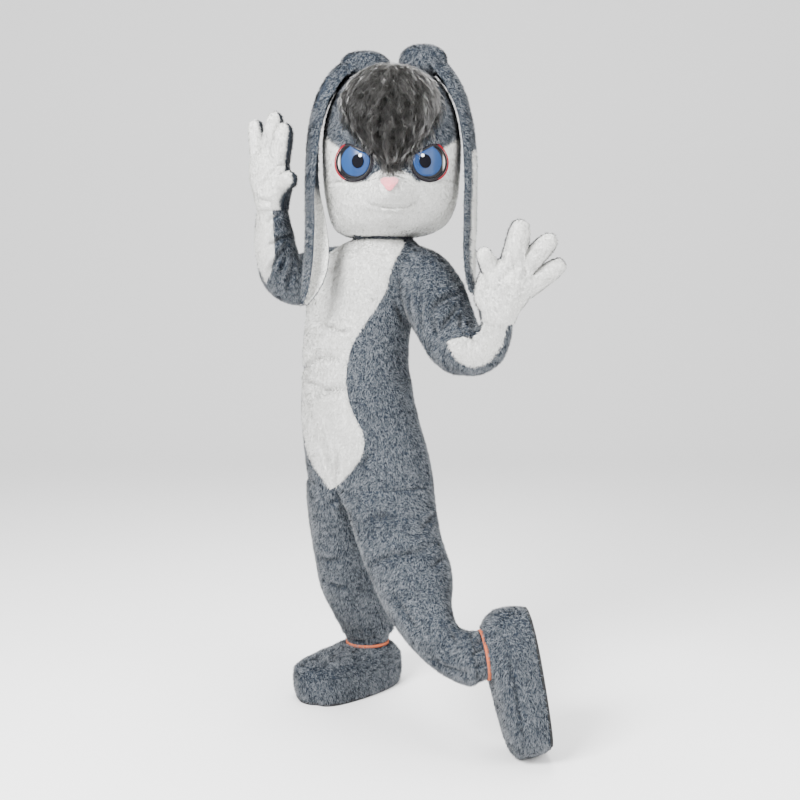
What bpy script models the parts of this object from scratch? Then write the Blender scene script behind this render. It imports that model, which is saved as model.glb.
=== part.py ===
"""Rabbit mascot costume: head with lop ears, plush suit, gloves and feet, held in a striding pose.

Metres, +Z up. The costume faces -Y, with its wearer's left on +X. Tables give heights above the
floor, and every mesh is moved so that the origin lies between the shoulders, where it is worn.
"""
import math

import bmesh
import bpy
from mathutils import Matrix, Vector

SHOULDERS = Vector((-0.050, 0.0, 1.340))
SEAM_GAP = 0.0004
SLIP_GAP = 0.0010
ANKLE_SLIP = 0.0011
WRIST_SLIP = 0.0014
PLUSH = 0.005
FOAM = 0.012
FOOT_FOAM = 0.009
EAR_CLOTH = 0.0025
GLOVE_WALL = 0.0045
NECK_RADIUS = 0.084
WRIST_RADIUS = 0.040
ANKLE_RADIUS = 0.062
BODY_YAW = math.radians(41.0)
UP = Vector((0.0, 0.0, 1.0))
FRONT = Vector((-math.sin(BODY_YAW), -math.cos(BODY_YAW), 0.0))
LEFT = UP.cross(FRONT)
CROTCH_HEIGHT = 0.690
CROTCH_CENTRE = 0.092

FINISHES = {
    "grey_plush": ((0.127, 0.151, 0.184), 0.95),
    "dark_plush": ((0.035, 0.043, 0.062), 0.95),
    "white_plush": ((0.830, 0.830, 0.800), 0.92),
    "shaggy_fur": ((0.125, 0.120, 0.118), 0.90),
    "eye_white": ((0.900, 0.900, 0.900), 0.20),
    "eye_blue": ((0.045, 0.145, 0.360), 0.15),
    "eye_black": ((0.008, 0.008, 0.010), 0.20),
    "crimson_felt": ((0.330, 0.015, 0.030), 0.90),
    "pink_velvet": ((0.850, 0.380, 0.370), 0.85),
    "orange_binding": ((0.560, 0.095, 0.030), 0.80),
    "black_sole": ((0.012, 0.012, 0.014), 0.75),
}


def table(columns, *rows):
    """Rows of a table as dictionaries, keyed by the names of its columns."""
    names = columns.split()
    return [dict(zip(names, row)) for row in rows]


def smooth_value(rows, column, t):
    """Value of a column at row position t, on a smooth curve through the rows."""
    last = len(rows) - 1
    t = min(max(t, 0.0), float(last))
    k = min(int(t), last - 1)
    f = t - k
    p0, p1 = rows[max(k - 1, 0)][column], rows[k][column]
    p2, p3 = rows[k + 1][column], rows[min(k + 2, last)][column]
    slope_1 = 0.5 * (p2 - p0)
    slope_2 = 0.5 * (p3 - p1)
    square, cube = f * f, f * f * f
    return (
        p1 * (2 * cube - 3 * square + 1)
        + slope_1 * (cube - 2 * square + f)
        + p2 * (3 * square - 2 * cube)
        + slope_2 * (cube - square)
    )


def steps(first, last, count):
    """Evenly spaced values from first to last, count of them."""
    return [first + (last - first) * i / (count - 1) for i in range(count)]


def fold_height(folds, angle, t):
    """Height of the folds at a place: each is a soft ridge or trough along a slanted line."""
    height = 0.0
    for fold in folds:
        along = (t - fold["row"]) / fold["length"]
        centre = fold["angle"] + fold["slant"] * (t - fold["row"])
        round_off = (angle - centre + 180.0) % 360.0 - 180.0
        round_off /= fold["spread"]
        height += fold["depth"] * math.exp(-along * along - round_off * round_off)
    return height


class Tube:
    """A cloth tube through the sections of a table, with folds raised in its surface."""

    def __init__(self, rows, front, folds=(), section=None, end_axis=None):
        self.rows = rows
        self.folds = folds
        self.section = section
        self.first_front = front
        self.end_axis = end_axis

    def centre(self, t):
        return Vector([smooth_value(self.rows, axis, t) for axis in "xyz"])

    def axis(self, t):
        """Direction from the last section to the first; a lean of 0 keeps the section level.

        Where the tube has an end axis, end_share turns the section to it step by step.
        """
        step = 0.05
        run = self.centre(t - step) - self.centre(t + step)
        lean = smooth_value(self.rows, "lean", t)
        found = (UP * (1.0 - lean) + run.normalized() * lean).normalized()
        if self.end_axis:
            share = smooth_value(self.rows, "end_share", t)
            found = (found * (1.0 - share) + self.end_axis * share).normalized()
        return found

    def frame(self, t):
        """Axis, front and left of the section at t, carried along the tube without twist."""
        front = self.first_front.copy()
        position = 0.0
        while position < t:
            axis = self.axis(position)
            front = (front - axis * front.dot(axis)).normalized()
            position += 0.5
        axis = self.axis(t)
        front = (front - axis * front.dot(axis)).normalized()
        return axis, front, axis.cross(front)

    def radius(self, angle, t):
        across, ahead = math.sin(math.radians(angle)), math.cos(math.radians(angle))
        width = smooth_value(self.rows, "half_width", t)
        depth = smooth_value(self.rows, "half_depth", t)
        value = 1.0 / math.hypot(across / width, ahead / depth)
        if self.section:
            value = self.section(self, across, ahead, t, value)
        return value + fold_height(self.folds, angle, t)

    def flat_point(self, angle, t):
        across, ahead = math.sin(math.radians(angle)), math.cos(math.radians(angle))
        value = self.radius(angle, t)
        return value * across, value * ahead

    def points(self, angles, t, out):
        """Points at the angles of one section, moved out along the section's own normal."""
        axis, front, left = self.frame(t)
        centre = self.centre(t)
        found = []
        for angle in angles:
            x, y = self.flat_point(angle, t)
            x1, y1 = self.flat_point(angle - 1.5, t)
            x2, y2 = self.flat_point(angle + 1.5, t)
            run = math.hypot(x2 - x1, y2 - y1)
            x += out * (y1 - y2) / run
            y += out * (x2 - x1) / run
            found.append(centre + left * x + front * y)
        return found


def new_object(name, points, faces, finish):
    """Mesh object with its faces turned outward and its own material."""
    mesh = bpy.data.meshes.new(name)
    mesh.from_pydata([point - SHOULDERS for point in points], [], faces)
    work = bmesh.new()
    work.from_mesh(mesh)
    bmesh.ops.remove_doubles(work, verts=work.verts, dist=0.00002)
    bmesh.ops.triangulate(work, faces=work.faces)
    bmesh.ops.recalc_face_normals(work, faces=work.faces)
    if work.calc_volume(signed=True) < 0.0:
        bmesh.ops.reverse_faces(work, faces=work.faces)
    work.to_mesh(mesh)
    work.free()
    colour, roughness = FINISHES[finish]
    material = bpy.data.materials.new(name + "_" + finish)
    material.use_nodes = True
    shader = material.node_tree.nodes["Principled BSDF"]
    shader.inputs["Base Color"].default_value = (*colour, 1.0)
    shader.inputs["Roughness"].default_value = roughness
    shader.inputs["Metallic"].default_value = 0.0
    mesh.materials.append(material)
    made = bpy.data.objects.new(name, mesh)
    bpy.context.collection.objects.link(made)
    return made


def wall(name, outer, inner, finish, wrap=False, pole=None):
    """Closed wall between two grids of points, a ring where wrap is set, closed at a pole if given."""
    rows, columns = len(outer), len(outer[0])
    points = [p for row in outer for p in row] + [p for row in inner for p in row]
    offset = rows * columns
    faces = []
    spans = columns if wrap else columns - 1
    for i in range(rows - 1):
        for j in range(spans):
            a, b = i * columns + j, i * columns + (j + 1) % columns
            c, d = a + columns, b + columns
            faces.append((a, b, d, c))
            faces.append((offset + a, offset + c, offset + d, offset + b))
    ends = [0] if pole else [0, rows - 1]
    for i in ends:
        for j in range(spans):
            a, b = i * columns + j, i * columns + (j + 1) % columns
            faces.append((a, offset + a, offset + b, b))
    if not wrap:
        for i in range(rows - 1):
            for j in (0, columns - 1):
                a = i * columns + j
                faces.append((a, a + columns, offset + a + columns, offset + a))
    if pole:
        top, under = len(points), len(points) + 1
        points += list(pole)
        for j in range(spans):
            a = (rows - 1) * columns + j
            b = (rows - 1) * columns + (j + 1) % columns
            faces.append((a, b, top))
            faces.append((offset + a, under, offset + b))
    return new_object(name, points, faces, finish)


def ring_wall(name, surface, heights, count, thickness, finish, out=0.0):
    """Closed ring of cloth all round a surface, between the first and the last height."""
    angles = [360.0 * j / count for j in range(count)]
    outer = [surface.points(angles, t, out) for t in heights]
    inner = [surface.points(angles, t, out - thickness) for t in heights]
    return wall(name, outer, inner, finish, wrap=True)


def panel(name, surface, heights, left, right, count, thickness, finish, out=0.0):
    """Cloth panel between two edge curves, which give an angle for each height."""
    outer, inner = [], []
    for t in heights:
        span = surface.points([left(t), right(t)], t, 0.0)
        middle = surface.points([0.5 * (left(t) + right(t))], t, 0.0)[0]
        reach = (span[0] - middle).length + (span[1] - middle).length
        trim = 0.5 * SEAM_GAP / reach * (right(t) - left(t))
        angles = steps(left(t) + trim, right(t) - trim, count)
        outer.append(surface.points(angles, t, out))
        inner.append(surface.points(angles, t, out - thickness))
    return wall(name, outer, inner, finish)


def filled(name, surface, heights, count, out):
    """Filled form of a tube, used only to cut its neighbours."""
    angles = [360.0 * j / count for j in range(count)]
    rows = [surface.points(angles, t, out) for t in heights]
    return closed_form(name, rows)


def closed_form(name, rows, tips=None):
    """Filled form through rings of points, closed by a fan at each end."""
    count = len(rows[0])
    points = [p for row in rows for p in row]
    middles = tips or [sum(row, Vector()) / count for row in (rows[0], rows[-1])]
    first, last = len(points), len(points) + 1
    points += list(middles)
    faces = []
    for i in range(len(rows) - 1):
        for j in range(count):
            a, b = i * count + j, i * count + (j + 1) % count
            faces.append((a, b, b + count, a + count))
    end = (len(rows) - 1) * count
    for j in range(count):
        following = (j + 1) % count
        faces.append((following, j, first))
        faces.append((end + j, end + following, last))
    return new_object(name, points, faces, "grey_plush")


def combine(target, tool, operation):
    """Boolean of two objects, applied; the tool is removed unless it is kept for another cut."""
    modifier = target.modifiers.new("join", "BOOLEAN")
    modifier.operation = operation
    modifier.solver = "EXACT"
    modifier.object = tool
    bpy.context.view_layer.objects.active = target
    bpy.ops.object.modifier_apply(modifier=modifier.name)


def discard(*tools):
    """Remove objects that only served to cut others."""
    for tool in tools:
        bpy.data.objects.remove(tool, do_unlink=True)


def split_bodies(target, smallest_share):
    """Keep the largest body of a cut mesh; return the other large ones as objects, drop slivers."""
    work = bmesh.new()
    work.from_mesh(target.data)
    bmesh.ops.remove_doubles(work, verts=work.verts, dist=0.00003)
    bmesh.ops.triangulate(work, faces=work.faces)
    unseen = set(work.verts)
    bodies = []
    while unseen:
        stack = [unseen.pop()]
        body = set(stack)
        while stack:
            for edge in stack.pop().link_edges:
                for vertex in edge.verts:
                    if vertex in unseen:
                        unseen.discard(vertex)
                        body.add(vertex)
                        stack.append(vertex)
        bodies.append(body)
    bodies.sort(key=len, reverse=True)
    limit = smallest_share * len(bodies[0])
    others = []
    for body in bodies[1:]:
        if len(body) < limit:
            continue
        numbers = {vertex: k for k, vertex in enumerate(sorted(body, key=lambda v: v.index))}
        faces = [[numbers[v] for v in face.verts] for face in work.faces if face.verts[0] in body]
        others.append(([vertex.co + SHOULDERS for vertex in numbers], faces))
    spare = [vertex for body in bodies[1:] for vertex in body]
    bmesh.ops.delete(work, geom=spare, context="VERTS")
    work.to_mesh(target.data)
    work.free()
    return others


for old in list(bpy.data.objects):
    bpy.data.objects.remove(old, do_unlink=True)

# Torso: level sections from the neck down to the crotch
TORSO_ROWS = table(
    "z x y half_width half_depth lean",
    (1.392, -0.050, 0.000, 0.084, 0.084, 0.0),
    (1.372, -0.060, 0.002, 0.128, 0.098, 0.0),
    (1.335, -0.078, 0.004, 0.168, 0.114, 0.0),
    (1.290, -0.092, 0.004, 0.180, 0.124, 0.0),
    (1.225, -0.106, 0.002, 0.181, 0.129, 0.0),
    (1.150, -0.122, 0.000, 0.172, 0.127, 0.0),
    (1.082, -0.129, 0.000, 0.166, 0.125, 0.0),
    (1.000, -0.128, 0.000, 0.173, 0.131, 0.0),
    (0.920, -0.122, 0.000, 0.184, 0.140, 0.0),
    (0.840, -0.111, 0.000, 0.194, 0.149, 0.0),
    (0.765, -0.098, 0.000, 0.202, 0.156, 0.0),
    (CROTCH_HEIGHT, -0.090, 0.000, 0.205, 0.158, 0.0),
)
WAIST_ROW = 6.0
TORSO_FOLDS = table(
    "row angle slant length spread depth",
    (9.2, 2, 0, 1.6, 10, -0.005),
    (6.1, 55, -14, 0.5, 26, 0.006),
    (6.7, 88, 10, 0.4, 30, -0.005),
    (5.3, 72, 8, 0.5, 22, -0.004),
    (5.7, 150, 12, 0.5, 30, 0.006),
    (6.5, 195, -12, 0.5, 34, -0.006),
    (7.3, 160, 8, 0.5, 30, 0.005),
    (8.6, 118, 14, 0.9, 14, -0.005),
    (9.3, 235, -14, 0.9, 16, -0.005),
    (4.3, 205, 10, 0.8, 16, 0.005),
    (5.9, 290, 12, 0.5, 26, 0.006),
    (6.8, 262, -10, 0.5, 28, -0.005),
)
FRONT_EDGE = table(
    "left right",
    (84.0, 84.0), (76.0, 76.0), (66.0, 66.0), (64.0, 64.0), (63.0, 63.0), (48.0, 59.0), (37.0, 57.0),
    (31.0, 57.0), (34.0, 57.0), (47.0, 55.0), (35.0, 38.0), (4.0, 4.0),
)
torso = Tube(TORSO_ROWS, FRONT, TORSO_FOLDS)
LAST_TORSO_ROW = len(TORSO_ROWS) - 1.0
FLY_HALF_ANGLE = 5.0
SIDE_SEAM_ANGLE = 102.0


def front_edge_left(t):
    """Edge of the white front on the wearer's left."""
    return smooth_value(FRONT_EDGE, "left", t)


def front_edge_right(t):
    """Edge of the white front on the wearer's right."""
    return -smooth_value(FRONT_EDGE, "right", t)


def level(surface, t, shift):
    """Row position at a small height above that of t."""
    drop = surface.centre(t + 0.02) - surface.centre(t - 0.02)
    return t - shift / drop.length * 0.04


def stretch(surface, first, last, count):
    """Row positions from first to last, drawn in by half a seam gap at each end."""
    inside_first = level(surface, first, -0.5 * SEAM_GAP)
    inside_last = level(surface, last, 0.5 * SEAM_GAP)
    return [inside_first] + steps(first, last, count)[1:-1] + [inside_last]


UPPER_STEPS = 9
LOWER_STEPS = 8
upper_heights = stretch(torso, 0.0, WAIST_ROW, UPPER_STEPS)
lower_heights = stretch(torso, WAIST_ROW, LAST_TORSO_ROW, LOWER_STEPS)
whole_heights = upper_heights[:-1] + [WAIST_ROW] + lower_heights[1:]
torso_panels = [
    panel("suit_chest", torso, upper_heights, front_edge_right, front_edge_left, 9, PLUSH, "white_plush"),
    panel("suit_belly", torso, lower_heights, front_edge_right, front_edge_left, 8, PLUSH, "white_plush"),
    panel(
        "suit_front_side_left", torso, whole_heights,
        front_edge_left, lambda t: SIDE_SEAM_ANGLE, 5, PLUSH, "grey_plush",
    ),
    panel(
        "suit_front_side_right", torso, whole_heights,
        lambda t: -SIDE_SEAM_ANGLE, front_edge_right, 5, PLUSH, "grey_plush",
    ),
    panel(
        "suit_back_left", torso, whole_heights,
        lambda t: SIDE_SEAM_ANGLE, lambda t: 180.0, 6, PLUSH, "grey_plush",
    ),
    panel(
        "suit_back_right", torso, whole_heights,
        lambda t: 180.0, lambda t: 360.0 - SIDE_SEAM_ANGLE, 6, PLUSH, "grey_plush",
    ),
]

# Back fly: a narrow strip laid over the closed zip along the centre of the back
panel(
    "suit_back_fly", torso, whole_heights[1:-3],
    lambda t: 180.0 - FLY_HALF_ANGLE, lambda t: 180.0 + FLY_HALF_ANGLE, 3, 0.003, "grey_plush", out=0.0038,
)

# Neckband: a ring that stands on the neck edge, inside the opening of the head
NECKBAND_ROWS = table(
    "z x y half_width half_depth lean",
    (1.430, -0.050, 0.0, NECK_RADIUS, NECK_RADIUS, 0.0),
    (1.411, -0.050, 0.0, NECK_RADIUS, NECK_RADIUS, 0.0),
    (1.392 + SEAM_GAP, -0.050, 0.0, NECK_RADIUS, NECK_RADIUS, 0.0),
)
neckband = Tube(NECKBAND_ROWS, FRONT)
ring_wall("suit_neckband", neckband, [0.0, 2.0], 24, 0.004, "dark_plush")

# Sleeves: from inside the armhole, round the bent elbow, to the wrist
LEFT_SLEEVE = table(
    "x y z half_width half_depth lean",
    (0.005, -0.030, 1.300, 0.070, 0.070, 1.0),
    (0.060, -0.090, 1.288, 0.082, 0.082, 1.0),
    (0.092, -0.128, 1.236, 0.087, 0.087, 1.0),
    (0.117, -0.162, 1.174, 0.086, 0.085, 1.0),
    (0.142, -0.200, 1.120, 0.080, 0.079, 1.0),
    (0.174, -0.245, 1.088, 0.074, 0.073, 1.0),
    (0.206, -0.286, 1.084, 0.066, 0.064, 1.0),
    (0.231, -0.316, 1.102, 0.056, 0.054, 1.0),
    (0.247, -0.334, 1.132, 0.045, 0.045, 1.0),
    (0.254, -0.344, 1.165, WRIST_RADIUS, WRIST_RADIUS, 1.0),
    (0.257, -0.350, 1.193, WRIST_RADIUS, WRIST_RADIUS, 1.0),
)
RIGHT_SLEEVE = table(
    "x y z half_width half_depth lean",
    (-0.128, 0.072, 1.306, 0.068, 0.068, 1.0),
    (-0.190, 0.086, 1.300, 0.076, 0.076, 1.0),
    (-0.244, 0.086, 1.288, 0.077, 0.077, 1.0),
    (-0.292, 0.068, 1.278, 0.074, 0.074, 1.0),
    (-0.327, 0.036, 1.283, 0.069, 0.069, 1.0),
    (-0.346, 0.004, 1.310, 0.064, 0.064, 1.0),
    (-0.354, -0.022, 1.352, 0.060, 0.060, 1.0),
    (-0.358, -0.040, 1.398, 0.055, 0.055, 1.0),
    (-0.360, -0.052, 1.440, 0.047, 0.047, 1.0),
    (-0.361, -0.059, 1.474, WRIST_RADIUS, WRIST_RADIUS, 1.0),
    (-0.361, -0.063, 1.502, WRIST_RADIUS, WRIST_RADIUS, 1.0),
)
SLEEVE_FOLDS = table(
    "row angle slant length spread depth",
    (2.6, 20, 25, 0.6, 26, 0.006),
    (3.5, 60, -20, 0.5, 22, -0.005),
    (4.4, 10, 22, 0.4, 30, 0.006),
    (5.2, 110, 25, 0.5, 24, -0.005),
    (5.6, 250, -25, 0.5, 26, 0.005),
    (6.6, 30, 30, 0.4, 40, -0.004),
    (7.3, 200, 30, 0.4, 40, 0.004),
    (3.1, 170, 15, 0.6, 20, 0.005),
    (4.1, 205, -15, 0.5, 20, -0.005),
)
STRIP_FIRST_ROW = 5.0
SLEEVE_END_ROW = 10.0
STRIP_HALF_ANGLE = 48.0


def point_angle(tube, t, direction):
    """Angle round a tube that faces a direction of the room."""
    axis, front, left = tube.frame(t)
    return math.degrees(math.atan2(direction.dot(left), direction.dot(front)))


def sleeve(side, rows, strip_direction):
    """One sleeve: grey cloth, with a white strip let in along the inside of the forearm."""
    tube = Tube(rows, -UP if side == "left" else FRONT, SLEEVE_FOLDS)
    centre_angle = {}

    def strip_half(t):
        grown = min(1.0, max(0.0, (t - STRIP_FIRST_ROW) / 1.6))
        return 3.0 + (STRIP_HALF_ANGLE - 3.0) * math.sin(0.5 * math.pi * grown)

    def middle(t):
        if t not in centre_angle:
            centre_angle[t] = point_angle(tube, t, strip_direction)
        return centre_angle[t]

    turn = point_angle(tube, STRIP_FIRST_ROW, strip_direction)
    upper = stretch(tube, 0.0, STRIP_FIRST_ROW, 10)
    lower = stretch(tube, STRIP_FIRST_ROW, SLEEVE_END_ROW, 8)
    lower_grey = [level(tube, STRIP_FIRST_ROW, -0.5 * SEAM_GAP)] + lower[1:]
    angles = [turn + 360.0 * j / 16 for j in range(16)]
    upper_wall = wall(
        f"suit_sleeve_{side}",
        [tube.points(angles, t, 0.0) for t in upper],
        [tube.points(angles, t, -PLUSH) for t in upper],
        "grey_plush", wrap=True,
    )
    panel(
        f"suit_forearm_grey_{side}", tube, lower_grey,
        lambda t: middle(t) + strip_half(t), lambda t: middle(t) + 360.0 - strip_half(t),
        11, PLUSH, "grey_plush",
    )
    panel(
        f"suit_forearm_white_{side}", tube, lower,
        lambda t: middle(t) - strip_half(t), lambda t: middle(t) + strip_half(t),
        4, PLUSH, "white_plush",
    )
    body = filled("body_form", torso, steps(0.0, LAST_TORSO_ROW, 20), 40, 0.0020)
    combine(upper_wall, body, "DIFFERENCE")
    split_bodies(upper_wall, 1.0)
    hollow = filled("arm_form", tube, steps(0.0, 3.0, 6), 16, -PLUSH)
    return tube, hollow, body


left_sleeve, left_hollow, left_body = sleeve("left", LEFT_SLEEVE, Vector((-0.2, -0.9, 0.1)))
right_sleeve, right_hollow, right_body = sleeve("right", RIGHT_SLEEVE, Vector((-0.65, -0.75, 0.0)))
SHOULDER_SHARE = 0.08
ARMHOLE_PANELS = {
    "left": ("suit_chest", "suit_front_side_left", "suit_back_left"),
    "right": ("suit_chest", "suit_front_side_right", "suit_back_right"),
}
for hollow, side in ((left_hollow, "left"), (right_hollow, "right")):
    for name in ARMHOLE_PANELS[side]:
        combine(bpy.data.objects[name], hollow, "DIFFERENCE")
        for points, faces in split_bodies(bpy.data.objects[name], SHOULDER_SHARE):
            new_object(f"suit_shoulder_{side}", points, faces, "grey_plush")
discard(left_hollow, right_hollow, left_body, right_body)

# Feet: a padded shoe on its own length, placed flat or standing on its toes
FOOT_ROWS = table(
    "z ahead half_length half_width power",
    (0.0085, 0.000, 0.198, 0.104, 2.8),
    (0.030, 0.000, 0.206, 0.111, 2.8),
    (0.062, 0.000, 0.206, 0.111, 2.8),
    (0.088, 0.000, 0.203, 0.108, 2.7),
    (0.107, -0.002, 0.190, 0.097, 2.5),
    (0.116, -0.026, 0.154, 0.085, 2.3),
    (0.121, -0.056, 0.109, 0.080, 2.1),
    (0.127, -0.080, 0.0765, 0.0765, 2.0),
)
SOLE_THICK = 0.0080
BAND_TOP_ROW = 3.0
TOE_GROOVES = table(
    "angle spread depth",
    (-13.0, 3.6, -0.013),
    (15.0, 3.6, -0.013),
)
ANKLE_AHEAD = -0.080
BINDING_HEIGHT = 0.010


class Foot:
    """Surface of a foot: level rings from the sole up to the ankle opening, placed in the room."""

    def __init__(self, heel_to_toe, upward, ankle):
        self.ahead = heel_to_toe.normalized()
        self.up = (upward - self.ahead * upward.dot(self.ahead)).normalized()
        self.side = self.ahead.cross(self.up)
        opening = self.ahead * ANKLE_AHEAD + self.up * FOOT_ROWS[-1]["z"]
        self.origin = ankle - opening

    def place(self, side, ahead, up):
        return self.origin + self.side * side + self.ahead * ahead + self.up * up

    def ring_point(self, angle, t, out):
        across, ahead = math.sin(math.radians(angle)), math.cos(math.radians(angle))
        length = smooth_value(FOOT_ROWS, "half_length", t)
        width = smooth_value(FOOT_ROWS, "half_width", t)
        power = smooth_value(FOOT_ROWS, "power", t)
        value = (abs(across / width) ** power + abs(ahead / length) ** power) ** (-1.0 / power)
        upper_part = max(0.0, min(1.0, (5.5 - t) / 2.0))
        for groove in TOE_GROOVES:
            away = (angle - groove["angle"] + 180.0) % 360.0 - 180.0
            value += groove["depth"] * upper_part * math.exp(-((away / groove["spread"]) ** 2))
        return (value + out) * across, (value + out) * ahead

    def points(self, angles, t, out):
        shift = smooth_value(FOOT_ROWS, "ahead", t)
        height = smooth_value(FOOT_ROWS, "z", t)
        lift = min(0.0, out) * max(0.0, min(1.0, t - BAND_TOP_ROW)) * (LAST_FOOT_ROW - t) / LAST_FOOT_ROW
        found = []
        for angle in angles:
            side, ahead = self.ring_point(angle, t, out)
            found.append(self.place(side, ahead + shift, height + lift))
        return found

    def centre(self, t):
        shift = smooth_value(FOOT_ROWS, "ahead", t)
        return self.place(0.0, shift, smooth_value(FOOT_ROWS, "z", t))

    def lowest(self):
        """Height of the lowest place on the sole or the band above the floor."""
        found = []
        for t in steps(0.0, LAST_FOOT_ROW, 15):
            found += [p.z for p in self.points(FOOT_ANGLES, t, 0.0)]
        found += [p.z for p in self.sole_ring(0.0)]
        return min(found)

    def sole_ring(self, height):
        found = []
        for angle in FOOT_ANGLES:
            side, ahead = self.ring_point(angle, 0.0, 0.0)
            found.append(self.place(side, ahead, height))
        return found


LAST_FOOT_ROW = len(FOOT_ROWS) - 1.0
FOOT_ANGLES = (
    [-180.0 + 24.0 * j for j in range(6)]
    + [-36.0 + 6.0 * j for j in range(12)]
    + [36.0 + 24.0 * j for j in range(6)]
)


def build_foot(side, foot):
    """Sole, side band, top panel and the binding round the ankle opening."""
    closed_form(f"foot_sole_{side}", [foot.sole_ring(0.0), foot.sole_ring(SOLE_THICK)])
    sole = bpy.data.objects[f"foot_sole_{side}"]
    sole.data.materials[0].node_tree.nodes["Principled BSDF"].inputs["Base Color"].default_value = (
        *FINISHES["black_sole"][0], 1.0,
    )
    band = [0.0] + steps(0.0, BAND_TOP_ROW, 3)[1:-1] + [BAND_TOP_ROW - 0.02]
    top = [BAND_TOP_ROW + 0.02] + steps(BAND_TOP_ROW, LAST_FOOT_ROW, 5)[1:]
    wall(
        f"foot_band_{side}",
        [foot.points(FOOT_ANGLES, t, 0.0) for t in band],
        [foot.points(FOOT_ANGLES, t, -FOOT_FOAM) for t in band],
        "grey_plush", wrap=True,
    )
    wall(
        f"foot_top_{side}",
        [foot.points(FOOT_ANGLES, t, 0.0) for t in top],
        [foot.points(FOOT_ANGLES, t, -FOOT_FOAM) for t in top],
        "grey_plush", wrap=True,
    )
    angles = [360.0 * j / 24 for j in range(24)]
    rise = [SEAM_GAP, BINDING_HEIGHT]
    inside = ANKLE_RADIUS + ANKLE_SLIP
    base = FOOT_ROWS[-1]["z"]

    def ring(radius, height):
        return [
            foot.place(
                radius * math.sin(math.radians(a)), ANKLE_AHEAD + radius * math.cos(math.radians(a)),
                base + height,
            )
            for a in angles
        ]

    wall(
        f"foot_binding_{side}",
        [ring(inside + 0.006, h) for h in rise],
        [ring(inside, h) for h in rise],
        "orange_binding", wrap=True,
    )


FLOOR_CLEARANCE = 0.0
right_foot = Foot(Vector((-0.66, -0.75, 0.0)), UP, Vector((-0.104, 0.250, FOOT_ROWS[-1]["z"])))
left_foot = Foot(Vector((0.16, -0.14, -0.975)), Vector((-0.94, -0.10, -0.15)), Vector((0.232, -0.336, 0.250)))
left_foot.origin.z -= left_foot.lowest() - FLOOR_CLEARANCE
build_foot("right", right_foot)
build_foot("left", left_foot)


def crotch_section(sign):
    """Section rule that turns a leg's round form into one half of the torso at the crotch."""
    width, depth = TORSO_ROWS[-1]["half_width"], TORSO_ROWS[-1]["half_depth"]
    gap = 0.0008

    def rule(tube, across, ahead, t, round_radius):
        share = smooth_value(tube.rows, "crotch", t)
        if share <= 0.0:
            return round_radius
        centre = CROTCH_CENTRE * sign
        a = (across / width) ** 2 + (ahead / depth) ** 2
        b = 2.0 * centre * across / width**2
        c = centre**2 / width**2 - 1.0
        value = (-b + math.sqrt(b * b - 4.0 * a * c)) / (2.0 * a)
        if across * sign < 0.0:
            value = min(value, (CROTCH_CENTRE - gap) / abs(across))
        return value * share + round_radius * (1.0 - share)

    return rule


def crotch_point(sign):
    """Centre of the half section where a leg starts."""
    last = TORSO_ROWS[-1]
    return Vector((last["x"], last["y"], last["z"])) + LEFT * CROTCH_CENTRE * sign


def leg_rows(sign, foot, hem_radius, *rows):
    """Rows of a leg: its start at the crotch, the rows given, then its cuff inside the foot."""
    start = crotch_point(sign)
    ankle = foot.place(0.0, ANKLE_AHEAD, FOOT_ROWS[-1]["z"])
    names = "x y z half_width half_depth lean crotch end_share"
    ends = []
    for rise, radius in ((0.058, hem_radius), (0.044, hem_radius - 0.003), (0.028, ANKLE_RADIUS), (0.006, ANKLE_RADIUS),
                         (-0.014, ANKLE_RADIUS)):
        spot = ankle + foot.up * rise
        ends.append((spot.x, spot.y, spot.z, radius, radius, 1.0, 0.0, 1.0))
    return table(names, (start.x, start.y, start.z, 0.11, 0.15, 0.0, 1.0, 0.0), *rows, *ends)


LEG_FOLDS = table(
    "row angle slant length spread depth",
    (1.2, 60, 12, 0.7, 16, -0.005),
    (3.0, 20, 16, 0.5, 30, 0.006),
    (3.6, 10, -14, 0.4, 34, -0.006),
    (4.1, 300, 18, 0.5, 28, 0.006),
    (3.4, 190, 16, 0.5, 30, 0.006),
    (4.0, 170, -16, 0.5, 30, -0.006),
    (5.0, 40, 22, 0.4, 30, 0.005),
    (5.2, 220, 22, 0.4, 30, 0.005),
    (2.2, 130, 14, 0.8, 16, 0.005),
)
right_leg_rows = leg_rows(
    -1, right_foot, 0.085,
    (-0.160, 0.064, 0.625, 0.112, 0.126, 0.4, 0.55, 0.0),
    (-0.163, 0.084, 0.550, 0.108, 0.110, 0.8, 0.12, 0.0),
    (-0.160, 0.110, 0.460, 0.102, 0.102, 1.0, 0.0, 0.0),
    (-0.153, 0.142, 0.370, 0.096, 0.096, 1.0, 0.0, 0.35),
    (-0.138, 0.190, 0.285, 0.091, 0.091, 1.0, 0.0, 0.80),
)
left_leg_rows = leg_rows(
    1, left_foot, 0.076,
    (-0.016, -0.082, 0.625, 0.116, 0.138, 0.4, 0.60, 0.0),
    (-0.006, -0.110, 0.555, 0.114, 0.122, 0.8, 0.15, 0.0),
    (0.018, -0.144, 0.480, 0.114, 0.115, 1.0, 0.0, 0.06),
    (0.056, -0.186, 0.412, 0.116, 0.114, 1.0, 0.0, 0.22),
    (0.094, -0.234, 0.342, 0.106, 0.106, 1.0, 0.0, 0.46),
    (0.121, -0.262, 0.302, 0.098, 0.098, 1.0, 0.0, 0.68),
    (0.151, -0.294, 0.27, 0.086, 0.086, 1.0, 0.0, 0.88),
)
LEG_OUTSEAM = 95.0
LEG_INSEAM = 275.0
CUFF_ROWS_FROM_END = 2.5


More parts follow.
